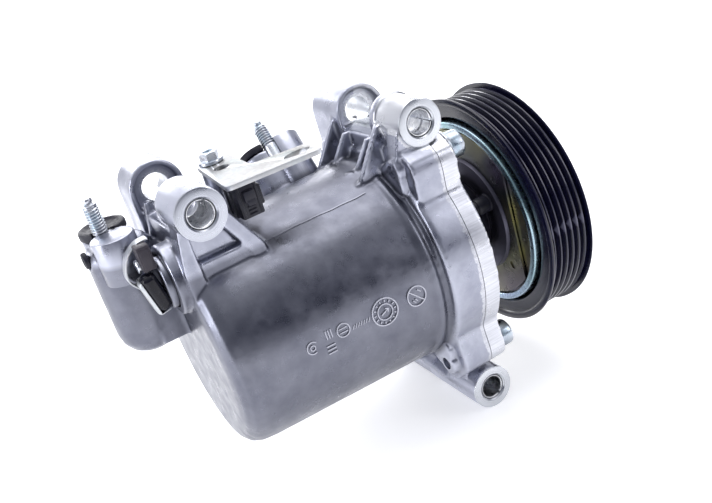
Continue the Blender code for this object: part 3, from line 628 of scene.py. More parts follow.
blanks = [
    turned(
        "barrel",
        [
            (0, 118), (53.7, 118), (53.6, 101.2), (52.9, 100.3), (50.4, 99.8), (49.7, 98.6),
            (49.9, 97.2), (50.6, 96.2), (50.8, 95.0), (50.5, 93.8), (49.9, 92.8), (48.2, 14),
            (47.6, 7.5), (45.8, 3.4), (42.6, 0.9), (38.5, 0.1), (0, 0.1),
        ],
        segments=128,
    ),
    bar("ft_collar", 11.4, (FTX, -17.6, FTZ), (FTX, -12.6, FTZ)),
    ear_with_recess("ft_ear", FT, 12.6, 40, 14.6, 44, 10.4, 60.0, 18.6),
    ear_with_recess("rt_ear", RT, 12.4, 38, 20.6, 45, 10.2, 60.5, 24.2),
    box("ft_neck", (106.5, -33, 38), (121.5, -12.5, 60)),
    box("ft_wall", (103.0, -20.5, 40), (118.5, 30, 60.8)),
    box("rt_wall", (4.2, -23.5, 34), (25.5, 30, 60.5)),
    bar("rt_core", 10.2, (RTX, -33, RTZ), (RTX, -11.2, RTZ)),
    bar("fb_core", 10.2, (FBX, -33, FBZ), (FBX, 44, FBZ)),
    box("fb_wall", (107.5, -30, -64), (122.5, 35, -40)),
    bar("ft_core", 10.0, (FTX, -33, FTZ), (FTX, -15, FTZ)),
    slab(
        "top_cheek",
        [(103.4, 65.8), (101.2, 58.6), (98.7, 50.6), (98.9, 41.3), (117, 41.3), (117, 65.8)],
        -35.4, -26,
    ),
    slab("bottom_cheek", [(103.0, -39.0), (117, -39.0), (117, -57.2), (100.7, -57.2)], -35.4, -26),
]
tall_rib = [(84.5, 42), (112, 42), (112, 67), (101.8, 67)]
low_rib = [(86.0, 42), (112, 42), (112, 60.6), (100.3, 60.6)]
for i, (y, rib) in enumerate(
    ((-19.6, tall_rib), (-10.6, low_rib), (10.8, low_rib), (21.0, tall_rib)),
):
    blanks.append(slab(f"front_rib_{i}", rib, y - 1.5, y + 1.5))
    foot_x = rib[0][0] + 2.5
    foot_z = math.sqrt(50.0**2 - y * y) + 0.6
    blanks.append(
        bar(f"front_rib_foot_{i}", 1.9, (foot_x, y, foot_z - 5), (foot_x, y, foot_z), 24, 0.9),
    )
rear_rib = [(12, 38), (36.4, 38), (36.4, 43.5), (24.4, 65), (12, 65)]
blanks.append(slab("rear_rib_far", rear_rib, 25.4, 28.6))
sloped_rib = [(19.6, 62), (32.4, 38), (36.6, 38), (36.6, 43.6), (24.4, 65.6), (19.6, 65.6)]
blanks.append(slab("rear_rib_near", sloped_rib, -28.6, -18))
left_rib = [(1.4, 30), (8.2, 30), (8.2, 66), (4.8, 66), (1.4, 46)]
blanks.append(slab("left_rib_near", left_rib, -29.2, -18))
blanks.append(slab("left_rib_far", left_rib, 14, 18))
blanks.append(box("pocket_sill", (7, -27.6, 36), (34, -18, 46.5)))
bottom_rib = [(91, -46), (108, -73), (112, -73), (112, -40), (91, -40)]
for i, y in enumerate((-14.0, 18.0)):
    blanks.append(slab(f"bottom_rib_{i}", bottom_rib, y - 1.7, y + 1.7))
for i, angle in enumerate(BOLTS):
    blanks.append(bar(f"ear_{i}", 5.6, at_bolt(98.0, angle), at_bolt(110, angle), 48, 0.9))
    blanks.append(
        bar(f"ear_root_{i}", 8.6, at_bolt(98.2, angle, 51), at_bolt(110, angle, 51), 48, 0.9),
    )
blanks.append(slab("casing_flange", flange_outline(FLANGE_R, EAR_REACH), 101.6, 118, "YZ"))

# Rear chamber with the discharge boss, and the suction boss off the far side.
CX, CY = -13.0, 13.0
PX, PY = -14.5, 20.5
BX, BY = -14.5, 2.5
blanks += [
    turned(
        "chamber",
        [(0, 56), (12.4, 56), (14, 53.5), (14, 17), (13, 12.5), (10.6, 8.8), (7, 6.4), (0, 5.3)],
        (CX, CY, 0), (0, 0, 1),
    ),
    box("chamber_root", (-12, -0.8, 9.5), (4, 26.8, 50)),
    bar("discharge_boss", 9.9, (PX, PY, 40), (PX, PY, 59.4)),
    box("boss_web", (-23.2, 3, 44), (-5.6, 20, 58.8)),
    bar("switch_seat", 15.4, (-3.0, SWITCH_Y, SWITCH_Z), (6, SWITCH_Y, SWITCH_Z)),
    bar("suction_port_boss", 10.3, off_port(40), off_port(69.8)),
    bar("bracket_boss", 5.6, (CLAMP_X, CLAMP_Y, 44), (CLAMP_X, CLAMP_Y, 69.6)),
]
casing = cast("casing_casting", blanks)


def lug_barrel(name, centre, profile):
    """The machined end of a lug, its near face at LUG_Y."""
    return turned(name, profile + [(0, 0)], (centre[0], LUG_Y, centre[1]), (0, 1, 0), 96)


boolean(
    casing,
    [
        lug_barrel("ft_barrel", FT, [(0, 21), (10.5, 21), (10.5, 0.7), (10.3, 0.2), (9.8, 0)]),
        lug_barrel("rt_barrel", RT, [(0, 26), (10.6, 26), (10.7, 0.8), (10.5, 0.2), (9.9, 0)]),
        lug_barrel("fb_barrel", FB, [(0, 40), (10.4, 40), (10.5, 0.7), (10.3, 0.2), (9.8, 0)]),
        bar("near_boss", 9.3, (BX, BY, 43), (BX, BY, 62.5), 64, 0.6),
        bar(
            "suction_near_boss", 9.8, off_casing(SUCTION_BOSS_X, 40),
            off_casing(SUCTION_BOSS_X, 74), 64, 0.8,
        ),
    ],
    "UNION",
)


def cone_bore(name, centre, radius):
    """A lug's bore with a chamfer at its near face."""
    x, z = centre
    return turned(
        name,
        [
            (0, 100), (radius, 100), (radius, 0.8), (radius + 0.7, 0.1), (radius + 0.7, -20),
            (0, -20),
        ],
        (x, LUG_Y, z), (0, 1, 0), 64,
    )


def room_for_head():
    rooms = [
        turned(
            "head_room", [(0, 160), (54.35, 160), (54.35, JOINT_X), (0, JOINT_X)], segments=128,
        ),
    ]
    rooms.append(
        slab(
            "ear_room", flange_outline(FLANGE_R + RIM_GAP, EAR_REACH + RIM_GAP), JOINT_X, 140,
            "YZ",
        ),
    )
    return rooms


cuts = room_for_head()
cuts += [
    turned(
        "casing_bore",
        [(0, 130), (46.6, 130), (46.6, 113.3), (44, 113.3), (44, 11), (40, 8), (0, 8)],
        segments=96,
    ),
    cone_bore("ft_bore", FT, LUG_BORE_R),
    cone_bore("rt_bore", RT, LUG_BORE_R),
    cone_bore("fb_bore", FB, LUG_BORE_R),
    box("far_face_front", (90, 41, -90), (140, 50, 90)),
    box("far_face_rear", (-5, 42, 50), (40, 50, 90)),
    bar("discharge_bore", PORT_BORE_R, (PX, PY, 48), (PX, PY, 90)),
    bar("suction_bore", PORT_BORE_R, off_port(30), off_port(95)),
    bar("suction_stud_hole", 3.7, off_stud(59), off_stud(100)),
    bar("discharge_stud_hole", 3.7, (*DISCHARGE_STUD, 56), (*DISCHARGE_STUD, 90)),
    bar("bracket_screw_hole", 2.6, (CLAMP_X, CLAMP_Y, 58), (CLAMP_X, CLAMP_Y, 90)),
    bar("plug_hole", 4.4, (CX - 12.4, CY - 1, 54), (CX - 25, CY - 1, 54)),
    bar("switch_pocket", 12.0, (-9, SWITCH_Y, SWITCH_Z), (-0.6, SWITCH_Y, SWITCH_Z)),
]
for i, angle in enumerate(BOLTS):
    cuts.append(bar(f"tapped_{i}", TAPPED_R, at_bolt(101.0, angle), at_bolt(130, angle), 32, 0.1))
    cuts.append(bar(f"dimple_{i}", 3.0, at_bolt(94.0, angle), at_bolt(100.0, angle), 32, 0.1))
cut(casing, cuts)
soften(casing, 42)


def paint_faces(obj, rules):
    """Gives a face the index of the first rule that its centre and normal meet."""
    mesh = obj.data
    count = len(mesh.polygons)
    centres = np.empty(count * 3)
    normals = np.empty(count * 3)
    mesh.polygons.foreach_get("center", centres)
    mesh.polygons.foreach_get("normal", normals)
    centres = centres.reshape(-1, 3)
    normals = normals.reshape(-1, 3)
    chosen = np.zeros(count, dtype=np.int32)
    for index, rule in rules:
        chosen[(chosen == 0) & rule(centres, normals)] = index
    mesh.polygons.foreach_set("material_index", chosen)
    mesh.update()


def near_lug(centre, depth, reach=11.3):
    def rule(c, n):
        away = np.hypot(c[:, 0] - centre[0], c[:, 2] - centre[1])
        return (away < reach) & (c[:, 1] < LUG_Y + depth)

    return rule


def in_bore(centre, radius=7.2):
    def rule(c, n):
        return np.hypot(c[:, 0] - centre[0], c[:, 2] - centre[1]) < radius

    return rule


def joint_band(c, n):
    away = np.hypot(c[:, 1], c[:, 2])
    return (c[:, 0] > JOINT_X - 0.05) & (away < 56) & (n[:, 0] > 0.9)


paint_faces(
    casing,
    [
        (1, near_lug(FT, 1.6)), (2, near_lug(FB, 1.6)), (3, near_lug(RT, 1.6)), (1, in_bore(FT)),
        (2, in_bore(FB)), (3, in_bore(RT)), (4, joint_band), (5, near_lug(FT, 20.6, 11.6)),
    ],
)
fixed(
    casing, [CASING_CAST, FACE_FT, FACE_FB, FACE_RT, FACE_JOINT, FT_BARREL], "cast_aluminium",
    "rear_casing",
)

# --- front head
blanks = [
    turned(
        "head_body",
        [
            (0, 147.2), (17.4, 147.2), (21, 145), (24.0, 138.0), (27.5, 132.6), (32.0, 129.0),
            (38.5, 126.6), (45.0, 125.2), (48.0, 124.2), (53.0, 124.1), (53.7, 123.2), (53.7, 112),
            (0, 112),
        ],
        segments=128,
    ),
]
blanks.append(slab("head_flange", flange_outline(FLANGE_R, EAR_REACH - 0.1), 112, 124.1, "YZ"))
for i in range(8):
    angle = 22.5 + 45 * i
    a = math.radians(angle)
    rib = slab(
        f"head_rib_{i}",
        [(122, 20), (141, 20), (139.0, 23.2), (128.5, 40), (124.0, 47), (122, 47)], -1.3, 1.3,
    )
    rib.data.transform(Matrix.Rotation(-a, 4, "X"))
    blanks.append(rib)
head = cast("head_casting", blanks, passes=5)
boolean(
    head,
    [
        turned(
            "head_nose", [(0, 174.2), (16.6, 174.2), (17.3, 173.4), (17.3, 140), (0, 140)],
            segments=64,
        ),
    ],
    "UNION",
)
cuts = [
    box("head_back", (90, -80, -80), (HEAD_X[0], 80, 80)),
    turned("head_bore", [(0, 180), (12, 180), (12, 112), (0, 112)], segments=48),
    bar("ft_room", 11.3, (FTX, -60, FTZ), (FTX, 60, FTZ)),
    bar("fb_room", 11.3, (FBX, -60, FBZ), (FBX, 60, FBZ)),
    box("wall_room", (110, -35, 57.4), (122.5, 45, 70)),
]
for i, angle in enumerate(BOLTS):
    cuts.append(bar(f"clear_{i}", TAPPED_R, at_bolt(110, angle), at_bolt(132, angle), 32, 0.1))
    cuts.append(bar(f"seat_{i}", 7.95, at_bolt(123.9, angle), at_bolt(136, angle), 48, 0.1))
cut(head, cuts)
soften(head, 42)


def nose(c, n):
    away = np.hypot(c[:, 1], c[:, 2])
    return (c[:, 0] > 127.5) & (away < 38)


# --- small turned and moulded pieces
def screw_thread(name, radius, depth, pitch, start, end, origin, direction, segments=40, steps=10):
    """A rod with a helical thread from start to end, closed at both ends."""
    rows = int((end - start) / pitch * steps)
    rings = []
    for k in range(rows + 1):
        height = start + (end - start) * k / rows
        near_end = min(1.0, (end - height) / (1.4 * pitch), (height - start + 0.4) / pitch)
        row = []
        for i in range(segments):
            a = 2 * math.pi * i / segments
            phase = (height / pitch - i / segments) % 1.0
            tooth = 1 - abs(2 * phase - 1)
            tooth = min(1.0, max(0.0, (tooth - 0.12) / 0.72))
            r = radius - depth + depth * tooth * max(0.0, near_end)
            row.append((r * math.cos(a), r * math.sin(a), height))
        rings.append(row)
    verts = [v for row in rings for v in row]
    faces = []
    for k in range(rows):
        for i in range(segments):
            j = (i + 1) % segments
            a, b = k * segments, (k + 1) * segments
            faces.append((a + i, a + j, b + j, b + i))
    faces.append(tuple(range(segments - 1, -1, -1)))
    faces.append(tuple(range(rows * segments, (rows + 1) * segments)))
    obj = add(name, verts, faces, 40)
    return moved(obj, origin, direction)


def stud(name, foot, direction, length, sunk):
    """A threaded stud with a plain pilot tip; foot is where it leaves the metal."""
    direction = Vector(direction).normalized()
    foot = Vector(foot)
    plain = turned(
        f"{name}_plain",
        [(0, 1.2), (3.1, 1.2), (3.35, 0.8), (STUD_R, 0.4), (STUD_R, -sunk), (0, -sunk)], foot,
        direction, 40,
    )
    thread = screw_thread(f"{name}_thread", STUD_R, 0.55, 1.25, 0.6, length - 3.0, foot, direction)
    tip = turned(
        f"{name}_tip",
        [
            (0, length), (1.5, length), (1.9, length - 0.5), (2.0, length - 1.0),
            (1.9, length - 1.9), (1.6, length - 2.3), (2.0, length - 2.7), (2.7, length - 3.3),
            (2.7, length - 4.5), (0, length - 4.5),
        ],
        foot, direction, 40,
    )
    return joined(name, [plain, thread, tip])


def hexagon(radius):
    corners = [math.pi * i / 3 for i in range(6)]
    return [(radius * math.cos(a), radius * math.sin(a)) for a in corners]


def hex_head(name, across, low, high, chamfer=0.5):
    """A hexagonal head along +Z whose corners are turned down at the top."""
    blank = slab(f"{name}_blank", hexagon(across / math.sqrt(3)), low, high, "XY")
    corner = across / math.sqrt(3)
    cone = turned(
        f"{name}_cone",
        [
            (0, high), (corner - 1.5 * chamfer, high), (corner + 0.2, high - 1.2 * chamfer),
            (corner + 0.2, low), (0, low),
        ],
        (0, 0, 0), (0, 0, 1), 64,
    )
    boolean(blank, [cone], "INTERSECT")
    return soften(blank, 25)


def cap_screw(name, place):
    x, y, z = place
    body = turned(
        name,
        [
            (0, 31.5), (5.2, 31.5), (5.8, 31.3), (6.1, 30.9), (6.2, 30.3), (6.2, 25.2),
            (6.0, 24.4), (7.3, 24.35), (7.7, 24.1), (7.8, 23.7), (7.8, 23.1), (7.5, 22.85),
            (3.9, 22.8), (3.9, 0.6), (3.3, 0), (0, 0),
        ],
        (0, 0, 0), (0, 0, 1), 64,
    )
    socket = slab(f"{name}_socket", hexagon(3.2), 27.6, 34, "XY")
    well = turned(
        f"{name}_well", [(0, 34), (4.6, 34), (3.3, 30.9), (0, 30.9)], (0, 0, 0), (0, 0, 1), 48,
    )
    cut(body, [socket, well])
    soften(body, 30)
    return moved(body, (x, y, z), (1, 0, 0))


def cap(name, origin, direction, cutters):
    made = turned(
        name,
        [
            (0, 2.6), (6.9, 2.6), (7.5, 2.9), (7.9, 3.1), (8.5, 3.4), (9.4, 3.4), (10.0, 3.1),
            (10.3, 2.4), (10.3, 0.5), (10.2, 0), (7.1, 0), (6.8, -5.6), (6.3, -6), (0, -6),
        ],
        origin, direction, 80,
    )
    cut(made, cutters)
    return round_edges(made, 0.35, 2, 35)


def ring_bush(name, centre, low, high, slot_turn, groove=None, thread=False):
    """A split bush; slot_turn is the angle of its slot, from +Z towards +X."""
    x, z = centre
    profile = [
        (5.2, high - low - 0.3), (5.4, high - low), (5.7, high - low), (5.9, high - low - 0.3),
        (5.9, 0.4), (5.7, 0), (5.45, 0), (5.2, 0.3),
    ]
    if groove:
        profile += [
            (5.2, groove - 0.7), (5.75, groove - 0.6), (5.75, groove + 0.6), (5.2, groove + 0.7),
        ]
    if thread:
        turns = int((high - low - 2) / 1.0)
        for i in range(turns):
            at = 1.0 + i
            profile += [(5.2, at), (5.6, at + 0.4), (5.6, at + 0.5)]
        profile.append((5.2, 1.0 + turns))
    made = turned(name, profile, (x, low, z), (0, 1, 0), 64, 30)
    slot = box(f"{name}_slot", (-0.6, low - 2, 1), (0.6, high + 2, 9))
    slot.data.transform(
        Matrix.Translation((x, 0, z)) @ Matrix.Rotation(math.radians(slot_turn), 4, "Y"),
    )
    cut(made, [slot])
    return soften(made, 30)


# The head's nose gets the darker cast copy: painted shade.
paint_faces(head, [(2, nose)])
fixed(head, [HEAD_CAST, FACE_JOINT, CAST_SHADED], "cast_aluminium", "front_head")

for i, angle in enumerate(BOLTS):
    y, z = circle(BOLT_R, angle)
    screw = cap_screw(f"cap_screw_{i + 1}", (124 - 22.8 + 0.3, y, z))
    fixed(screw, ZINC, "zinc_plated_steel", f"head_screw_{i + 1}")

bushes = [
    ("front_top", ring_bush("front_top_bush_ring", FT, LUG_Y + 1.0, -21, 100, groove=6.5)),
    ("front_bottom", ring_bush("front_bottom_bush_ring", FB, LUG_Y + 0.8, -18, 150)),
    ("rear_top", ring_bush("rear_top_bush_ring", RT, LUG_Y + 1.0, -16, 30, thread=True)),
]
for lug, bush in bushes:
    fixed(bush, STEEL, "steel", f"{lug}_bush")

STUD_FOOT = off_stud(70)
fixed(
    stud("discharge_stud_threaded", (*DISCHARGE_STUD, 59.5), (0, 0, 1), 18.5, 3.2), ZINC_BRIGHT,
    "zinc_plated_steel", "discharge_stud",
)
fixed(
    stud("suction_stud_threaded", STUD_FOOT, SUCTION_AXIS, 14.5, 10), ZINC_BRIGHT,
    "zinc_plated_steel", "suction_stud",
)
fixed(
    cap(
        "discharge_cap_moulded", (PX, PY, 59.8), (0, 0, 1),
        [
            bar("cap_notch", 4.2, (*DISCHARGE_STUD, 45), (*DISCHARGE_STUD, 75)),
            bar("cap_side", 9.8, (BX, BY, 40), (BX, BY, 75)),
        ],
    ),
    RUBBER, "black_plastic", "discharge_cap",
)
fixed(
    cap(
        "suction_cap_moulded", off_port(70.3), SUCTION_AXIS,
        [
            bar("cap_notch", 4.2, STUD_FOOT - SUCTION_AXIS * 12, STUD_FOOT + SUCTION_AXIS * 14),
            bar("cap_side", 10.2, off_casing(SUCTION_BOSS_X, 55), off_casing(SUCTION_BOSS_X, 92)),
        ],
    ),
    RUBBER, "black_plastic", "suction_cap",
)
fixed(
    turned(
        "chamber_plug_moulded",
        [
            (0, 1.5), (2.0, 1.5), (2.3, 2.1), (3.1, 2.1), (3.5, 1.8), (3.6, 1.4), (3.6, 0.3),
            (3.3, 0), (0, 0),
        ],
        (CX - 12.8, CY - 1, 54), (-1, 0, 0), 40,
    ),
    BLACK_PLASTIC, "black_plastic", "chamber_plug",
)

# --- bracket, its screw and the connector
def rounded(points, radius, steps=5):
    """The outline with its corners rounded."""
    out = []
    count = len(points)
    for i, point in enumerate(points):
        here = Vector(point)
        before = (Vector(points[i - 1]) - here).normalized()
        after = (Vector(points[(i + 1) % count]) - here).normalized()
        sides = [(Vector(points[k % count]) - here).length for k in (i - 1, i + 1)]
        cut = min(radius, *(0.45 * side for side in sides))
        a, b = here + before * cut, here + after * cut
        for k in range(steps + 1):
            t = k / steps
            out.append(tuple((1 - t) ** 2 * a + 2 * t * (1 - t) * here + t * t * b))
    return out


plate = slab(
    "bracket_sheet",
    rounded(
        [(28.0, -31.5), (70.2, -34.6), (71.0, -19.5), (45.6, -15.0), (46.0, 17.5), (31.0, 14.0)],
        3.0,
    ),
    70, 72, "XY",
)
lens = []
for i in range(24):
    a = 2 * math.pi * i / 24
    lens.append((6.2 * math.cos(a), 3.3 * math.sin(a) * (1 - 0.25 * abs(math.cos(a)))))
slot_shape = slab("bracket_slot", lens, 60, 80, "XY")
slot_shape.data.transform(
    Matrix.Translation((61.8, -26.6, 0)) @ Matrix.Rotation(math.radians(4), 4, "Z"),
)
cut(
    plate,
    [
        slot_shape,
        bar("bracket_hole", 3.4, (37, -3, 60), (37, -3, 80), 48),
        bar("bracket_screw_room", 2.7, (CLAMP_X, CLAMP_Y, 60), (CLAMP_X, CLAMP_Y, 80), 48),
    ],
)
round_edges(plate, 0.3, 2)

screw_head = hex_head("bracket_hex", 7.6, 14.8, 18.4, 0.5)
dish = turned(
    "bracket_dish", [(0, 20), (2.6, 20), (2.2, 17.6), (0, 17.3)], (0, 0, 0), (0, 0, 1), 32,
)
cut(screw_head, [dish])
washer = turned(
    "bracket_washer",
    [(0, 15.0), (4.6, 15.0), (5.4, 14.7), (5.6, 14.2), (5.6, 13.6), (5.4, 13.4), (0, 13.4)],
    (0, 0, 0), (0, 0, 1), 64,
)
shank = screw_thread("bracket_shank", 2.3, 0.35, 0.8, 0, 13.6, (0, 0, 0), (0, 0, 1))
bracket_screw = moved(
    joined("bracket_hex_screw", [screw_head, washer, shank]), (CLAMP_X, CLAMP_Y, 72.3 - 13.4),
)


def connector_blocks():
    blocks = [
        box("plug_body", (32.0, -26.6, 54.6), (41.6, -12.2, 68.8), 0.7),
        box("plug_collar", (31.5, -20.5, 54.5), (42.0, -17.5, 69.4), 0.4),
        box("plug_back", (31.6, -14.5, 55.0), (41.8, -12.0, 69.0), 0.4),
        box("plug_latch", (34.2, -29.0, 61.5), (39.4, -22.0, 66.3), 0.6),
        box("plug_latch_lip", (34.8, -29.2, 60.2), (38.8, -27.6, 62.6), 0.4),
        box("plug_rib_a", (32.6, -27.0, 55.4), (33.6, -20.0, 68.2), 0.3),
        box("plug_rib_b", (40.0, -27.0, 55.4), (41.0, -20.0, 68.2), 0.3),
        box("plug_root", (38.2, -13.6, 57.4), (43.8, -6.0, 65.6), 1.2, 3),
        box("plug_side", (41.4, -24.5, 57.5), (43.4, -15.5, 66.0), 0.5),
    ]
    for i in range(3):
        blocks.append(
            box(
                f"plug_grip_{i}", (35.0, -27.2, 55.6 + 1.6 * i), (38.6, -26.2, 56.4 + 1.6 * i),
                0.25,
            ),
        )
    return blocks


fixed(plate, SHEET_ZINC, "zinc_plated_steel", "bracket_plate")
fixed(bracket_screw, ZINC, "zinc_plated_steel", "bracket_screw")
fixed(
    joined("clutch_plug_moulded", connector_blocks()), BLACK_PLASTIC, "black_plastic",
    "clutch_connector",
)

# --- thermal switch
def ribbon(name, path, y0, y1, thickness):
    """A bent strip: path is (x, z) points, thickened to the left of the way it runs."""
    points = [Vector(p) for p in path]
    outer = []
    for i, point in enumerate(points):
        before = points[max(0, i - 1)]
        after = points[min(len(points) - 1, i + 1)]
        way = (after - before).normalized()
        outer.append(tuple(point + Vector((-way.y, way.x)) * thickness))
    return slab(name, [tuple(p) for p in points] + outer[::-1], y0, y1, "XZ", 0.15, 1)


def curve_points(keys, count=40):
    """A Catmull-Rom curve through the keys."""
    out = []
    last = len(keys) - 1
    for k in range(count + 1):
        t = k / count * last
        i = min(int(t), last - 1)
        t -= i
        p0, p1, p2, p3 = (Vector(keys[min(max(j, 0), last)]) for j in (i - 1, i, i + 1, i + 2))
        point = 0.5 * (
            2 * p1
            + (p2 - p0) * t
            + (2 * p0 - 5 * p1 + 4 * p2 - p3) * t * t
            + (3 * p1 - p0 - 3 * p2 + p3) * t**3
        )
        out.append(tuple(point))
    return out


strap_keys = [
    (-4.2, 60.6), (-9.0, 60.2), (-14.0, 57.0), (-17.0, 51.5), (-17.4, 46.5), (-15.4, 43.0),
    (-13.6, 41.0),
]
strap = ribbon("switch_strap", curve_points(strap_keys), SWITCH_Y - 1.5, SWITCH_Y + 3.6, 0.7)
switch_screw = joined(
    "switch_clamp_screw",
    [
        screw_thread(
            "clamp_thread", 2.2, 0.3, 1.0, 0, 3.4, (-8.0, SWITCH_Y - 1.0, 51), (-1, 0, 0),
        ),
        turned(
            "clamp_collar", [(0, 4.6), (2.6, 4.6), (2.9, 4.3), (2.9, 3.4), (2.6, 3.2), (0, 3.2)],
            (-8.0, SWITCH_Y - 1.0, 51), (-1, 0, 0), 40,
        ),
    ],
)
fixed(switch_screw, ZINC, "zinc_plated_steel", "switch_screw")
fixed(
    turned(
        "switch_can",
        [
            (0, 5.1), (9.6, 5.1), (10.6, 4.8), (11.1, 4.2), (11.2, 3.6), (11.2, 0.6), (10.8, 0),
            (0, 0),
        ],
        (-0.9, SWITCH_Y, SWITCH_Z), (-1, 0, 0), 80,
    ),
    CAST, "steel", "switch_body",
)
case = joined(
    "switch_case",
    [
        box(
            "case_body", (-11.2, SWITCH_Y - 7.0, SWITCH_Z + 9.2),
            (-5.6, SWITCH_Y, SWITCH_Z + 20.0), 0.7,
        ),
        box(
            "case_rim", (-10.4, SWITCH_Y - 7.4, SWITCH_Z + 10.6),
            (-6.4, SWITCH_Y - 6.5, SWITCH_Z + 18.6), 0.3,
        ),
    ],
)
fixed(case, BROWN_PLASTIC, "brown_plastic", "switch_housing")
plug = box(
    "switch_boot", (-12.6, SWITCH_Y - 8.0, SWITCH_Z - 8.8), (-6.2, SWITCH_Y - 0.5, SWITCH_Z + 8.0),
    2.3, 5,
)
lean = (
    Matrix.Translation((-9.5, 0, 40))
    @ Matrix.Rotation(math.radians(-12), 4, "Y")
    @ Matrix.Translation((9.5, 0, -40))
)
plug.data.transform(lean)
tray = box(
    "boot_tray", (-14.0, SWITCH_Y - 7.2, SWITCH_Z - 9.8), (-7.0, SWITCH_Y + 1.5, SWITCH_Z + 7.0),
    1.8, 4,
)
tray.data.transform(lean)
hollow = box(
    "boot_hollow", (-12.7, SWITCH_Y - 12, SWITCH_Z - 8.9), (-2.0, SWITCH_Y + 0.3, SWITCH_Z + 9.0),
    0.0,
)
hollow.data.transform(lean)
cut(tray, [hollow])
fixed(plug, GLOSS_BLACK, "rubber", "switch_plug")
fixed(
    joined("switch_strap_and_tray", [strap, tray]), SHEET_ZINC, "zinc_plated_steel", "switch_clip",
)

# --- field coil and its plate
coil = turned(
    "coil_shell",
    [
        (30, 169.5), (46.4, 169.5), (47.0, 168.5), (47.0, 153.0), (47.35, 152.6), (47.4, 152.2),
        (47.4, 150.2), (47.2, 149.6), (46.8, 149.3), (46.3, 149.2), (44.9, 149.2), (44.4, 149.3),
        (44.1, 149.7), (43.9, 151.2), (30, 151.2),
    ],
    segments=160,
)
paint_faces(coil, [(1, lambda c, n: (np.hypot(c[:, 1], c[:, 2]) < 43.95) & (c[:, 0] < 152))])
fixed(coil, [COIL_ZINC, COIL_OLIVE], "zinc_plated_steel", "field_coil")
coil_base = turned(
    "coil_back",
    [
        (17.8, 150.7), (43.0, 150.7), (43.2, 150.5), (43.2, 150.0), (42.9, 149.7), (29.4, 149.7),
        (29.0, 149.3), (28.6, 148.2), (28.2, 148.0), (17.8, 148.0),
    ],
    segments=160,
)
dents = [box("coil_chord", (146, -60, -60), (153, -33.6, 60))]
for i, angle in enumerate((139.2, 98.5, 60.0, 20.0, -20.0, -60.0, -98.5, -139.2)):
    y, z = circle(34.0, angle)
    dents.append(
        turned(
            f"dent_{i}", [(0, 2.2), (2.4, 2.2), (1.9, -0.55), (0, -0.7)], (149.7, y, z),
            (-1, 0, 0), 32,
        ),
    )
cut(coil_base, dents)
soften(coil_base, 30)
# Painted shade: the plate's middle, inside 29.2 mm, gets the darker cast copy.
paint_faces(coil_base, [(1, lambda c, n: np.hypot(c[:, 1], c[:, 2]) < 29.2)])
fixed(coil_base, [COIL_OLIVE, CAST_SHADED], "passivated_steel", "coil_plate")
lead = joined(
    "coil_grommet",
    [
        bar("grommet_body", 4.2, (140.6, *GROMMET), (148.2, *GROMMET), 48, 1.1),
        bar("grommet_neck", 3.4, (139.4, *GROMMET), (146.0, *GROMMET), 48, 0.8),
        bar("grommet_rib", 4.5, (146.8, *GROMMET), (148.2, *GROMMET), 48, 0.4),
    ],
)
fixed(lead, BLACK_PLASTIC, "black_plastic", "coil_lead")

# --- pulley, armature and hub
CREST, ROOT, PITCH, FIRST_CREST = 56.1, 53.1, 3.56, 154.1
outline = [
    (27.2, 171.0), (27.2, 173.7), (27.6, 174.1), (28.2, 174.2), (52.6, 174.2), (53.2, 174.3),
    (53.8, 174.6), (57.4, 174.6), (57.9, 174.45), (58.2, 174.15), (58.1, 173.95), (54.0, 173.85),
    (ROOT, 173.6),
]
for i in range(6):
    x = FIRST_CREST + (5 - i) * PITCH
    outline += [
        (ROOT, x + 1.38), (CREST - 0.12, x + 0.42), (CREST, x + 0.30), (CREST, x - 0.30),
        (CREST - 0.12, x - 0.42), (ROOT, x - 1.38),
    ]
outline += [
    (ROOT, 152.35), (57.9, 151.75), (58.4, 151.5), (58.6, 151.1), (58.6, 150.8), (58.4, 150.4),
    (57.9, 150.2), (56.4, 150.2), (55.6, 150.35), (55.1, 150.8), (54.8, 151.3), (50.0, 151.4),
    (49.2, 151.6), (48.7, 152.2), (48.5, 153.2), (48.4, 170.5), (29.4, 170.5), (29.4, 153.2),
    (29.0, 153.0), (27.2, 153.0),
]
pulley = turned("pulley_wheel", outline, segments=192, angle=28)
finish_piece(pulley, "pulley", PULLEY_BLACK, ["pulley"])

armature = turned(
    "armature_disc",
    [
        (27.5, 178.2), (27.9, 178.6), (36.0, 178.6), (36.4, 178.2), (40.6, 178.2), (41.0, 178.6),
        (49.4, 178.6), (50.0, 178.0), (50.0, 175.6), (49.6, 175.2), (27.9, 175.2), (27.5, 175.6),
    ],
    segments=128,
)
rivets = []
for i in range(3):
    y, z = circle(RIVET_R, 120 * i + FIRST_RIVET)
    rivets.append(
        turned(
            f"rivet_{i}", [(0, 3.6), (1.8, 3.5), (2.7, 3.0), (3.0, 2.3), (3.0, 0.2), (0, 0.2)],
            (177.6, y, z), (1, 0, 0), 32,
        ),
    )
finish_piece(
    joined("armature_riveted", [armature] + rivets), "armature", STEEL_DARK,
    ["armature_plate"],
)

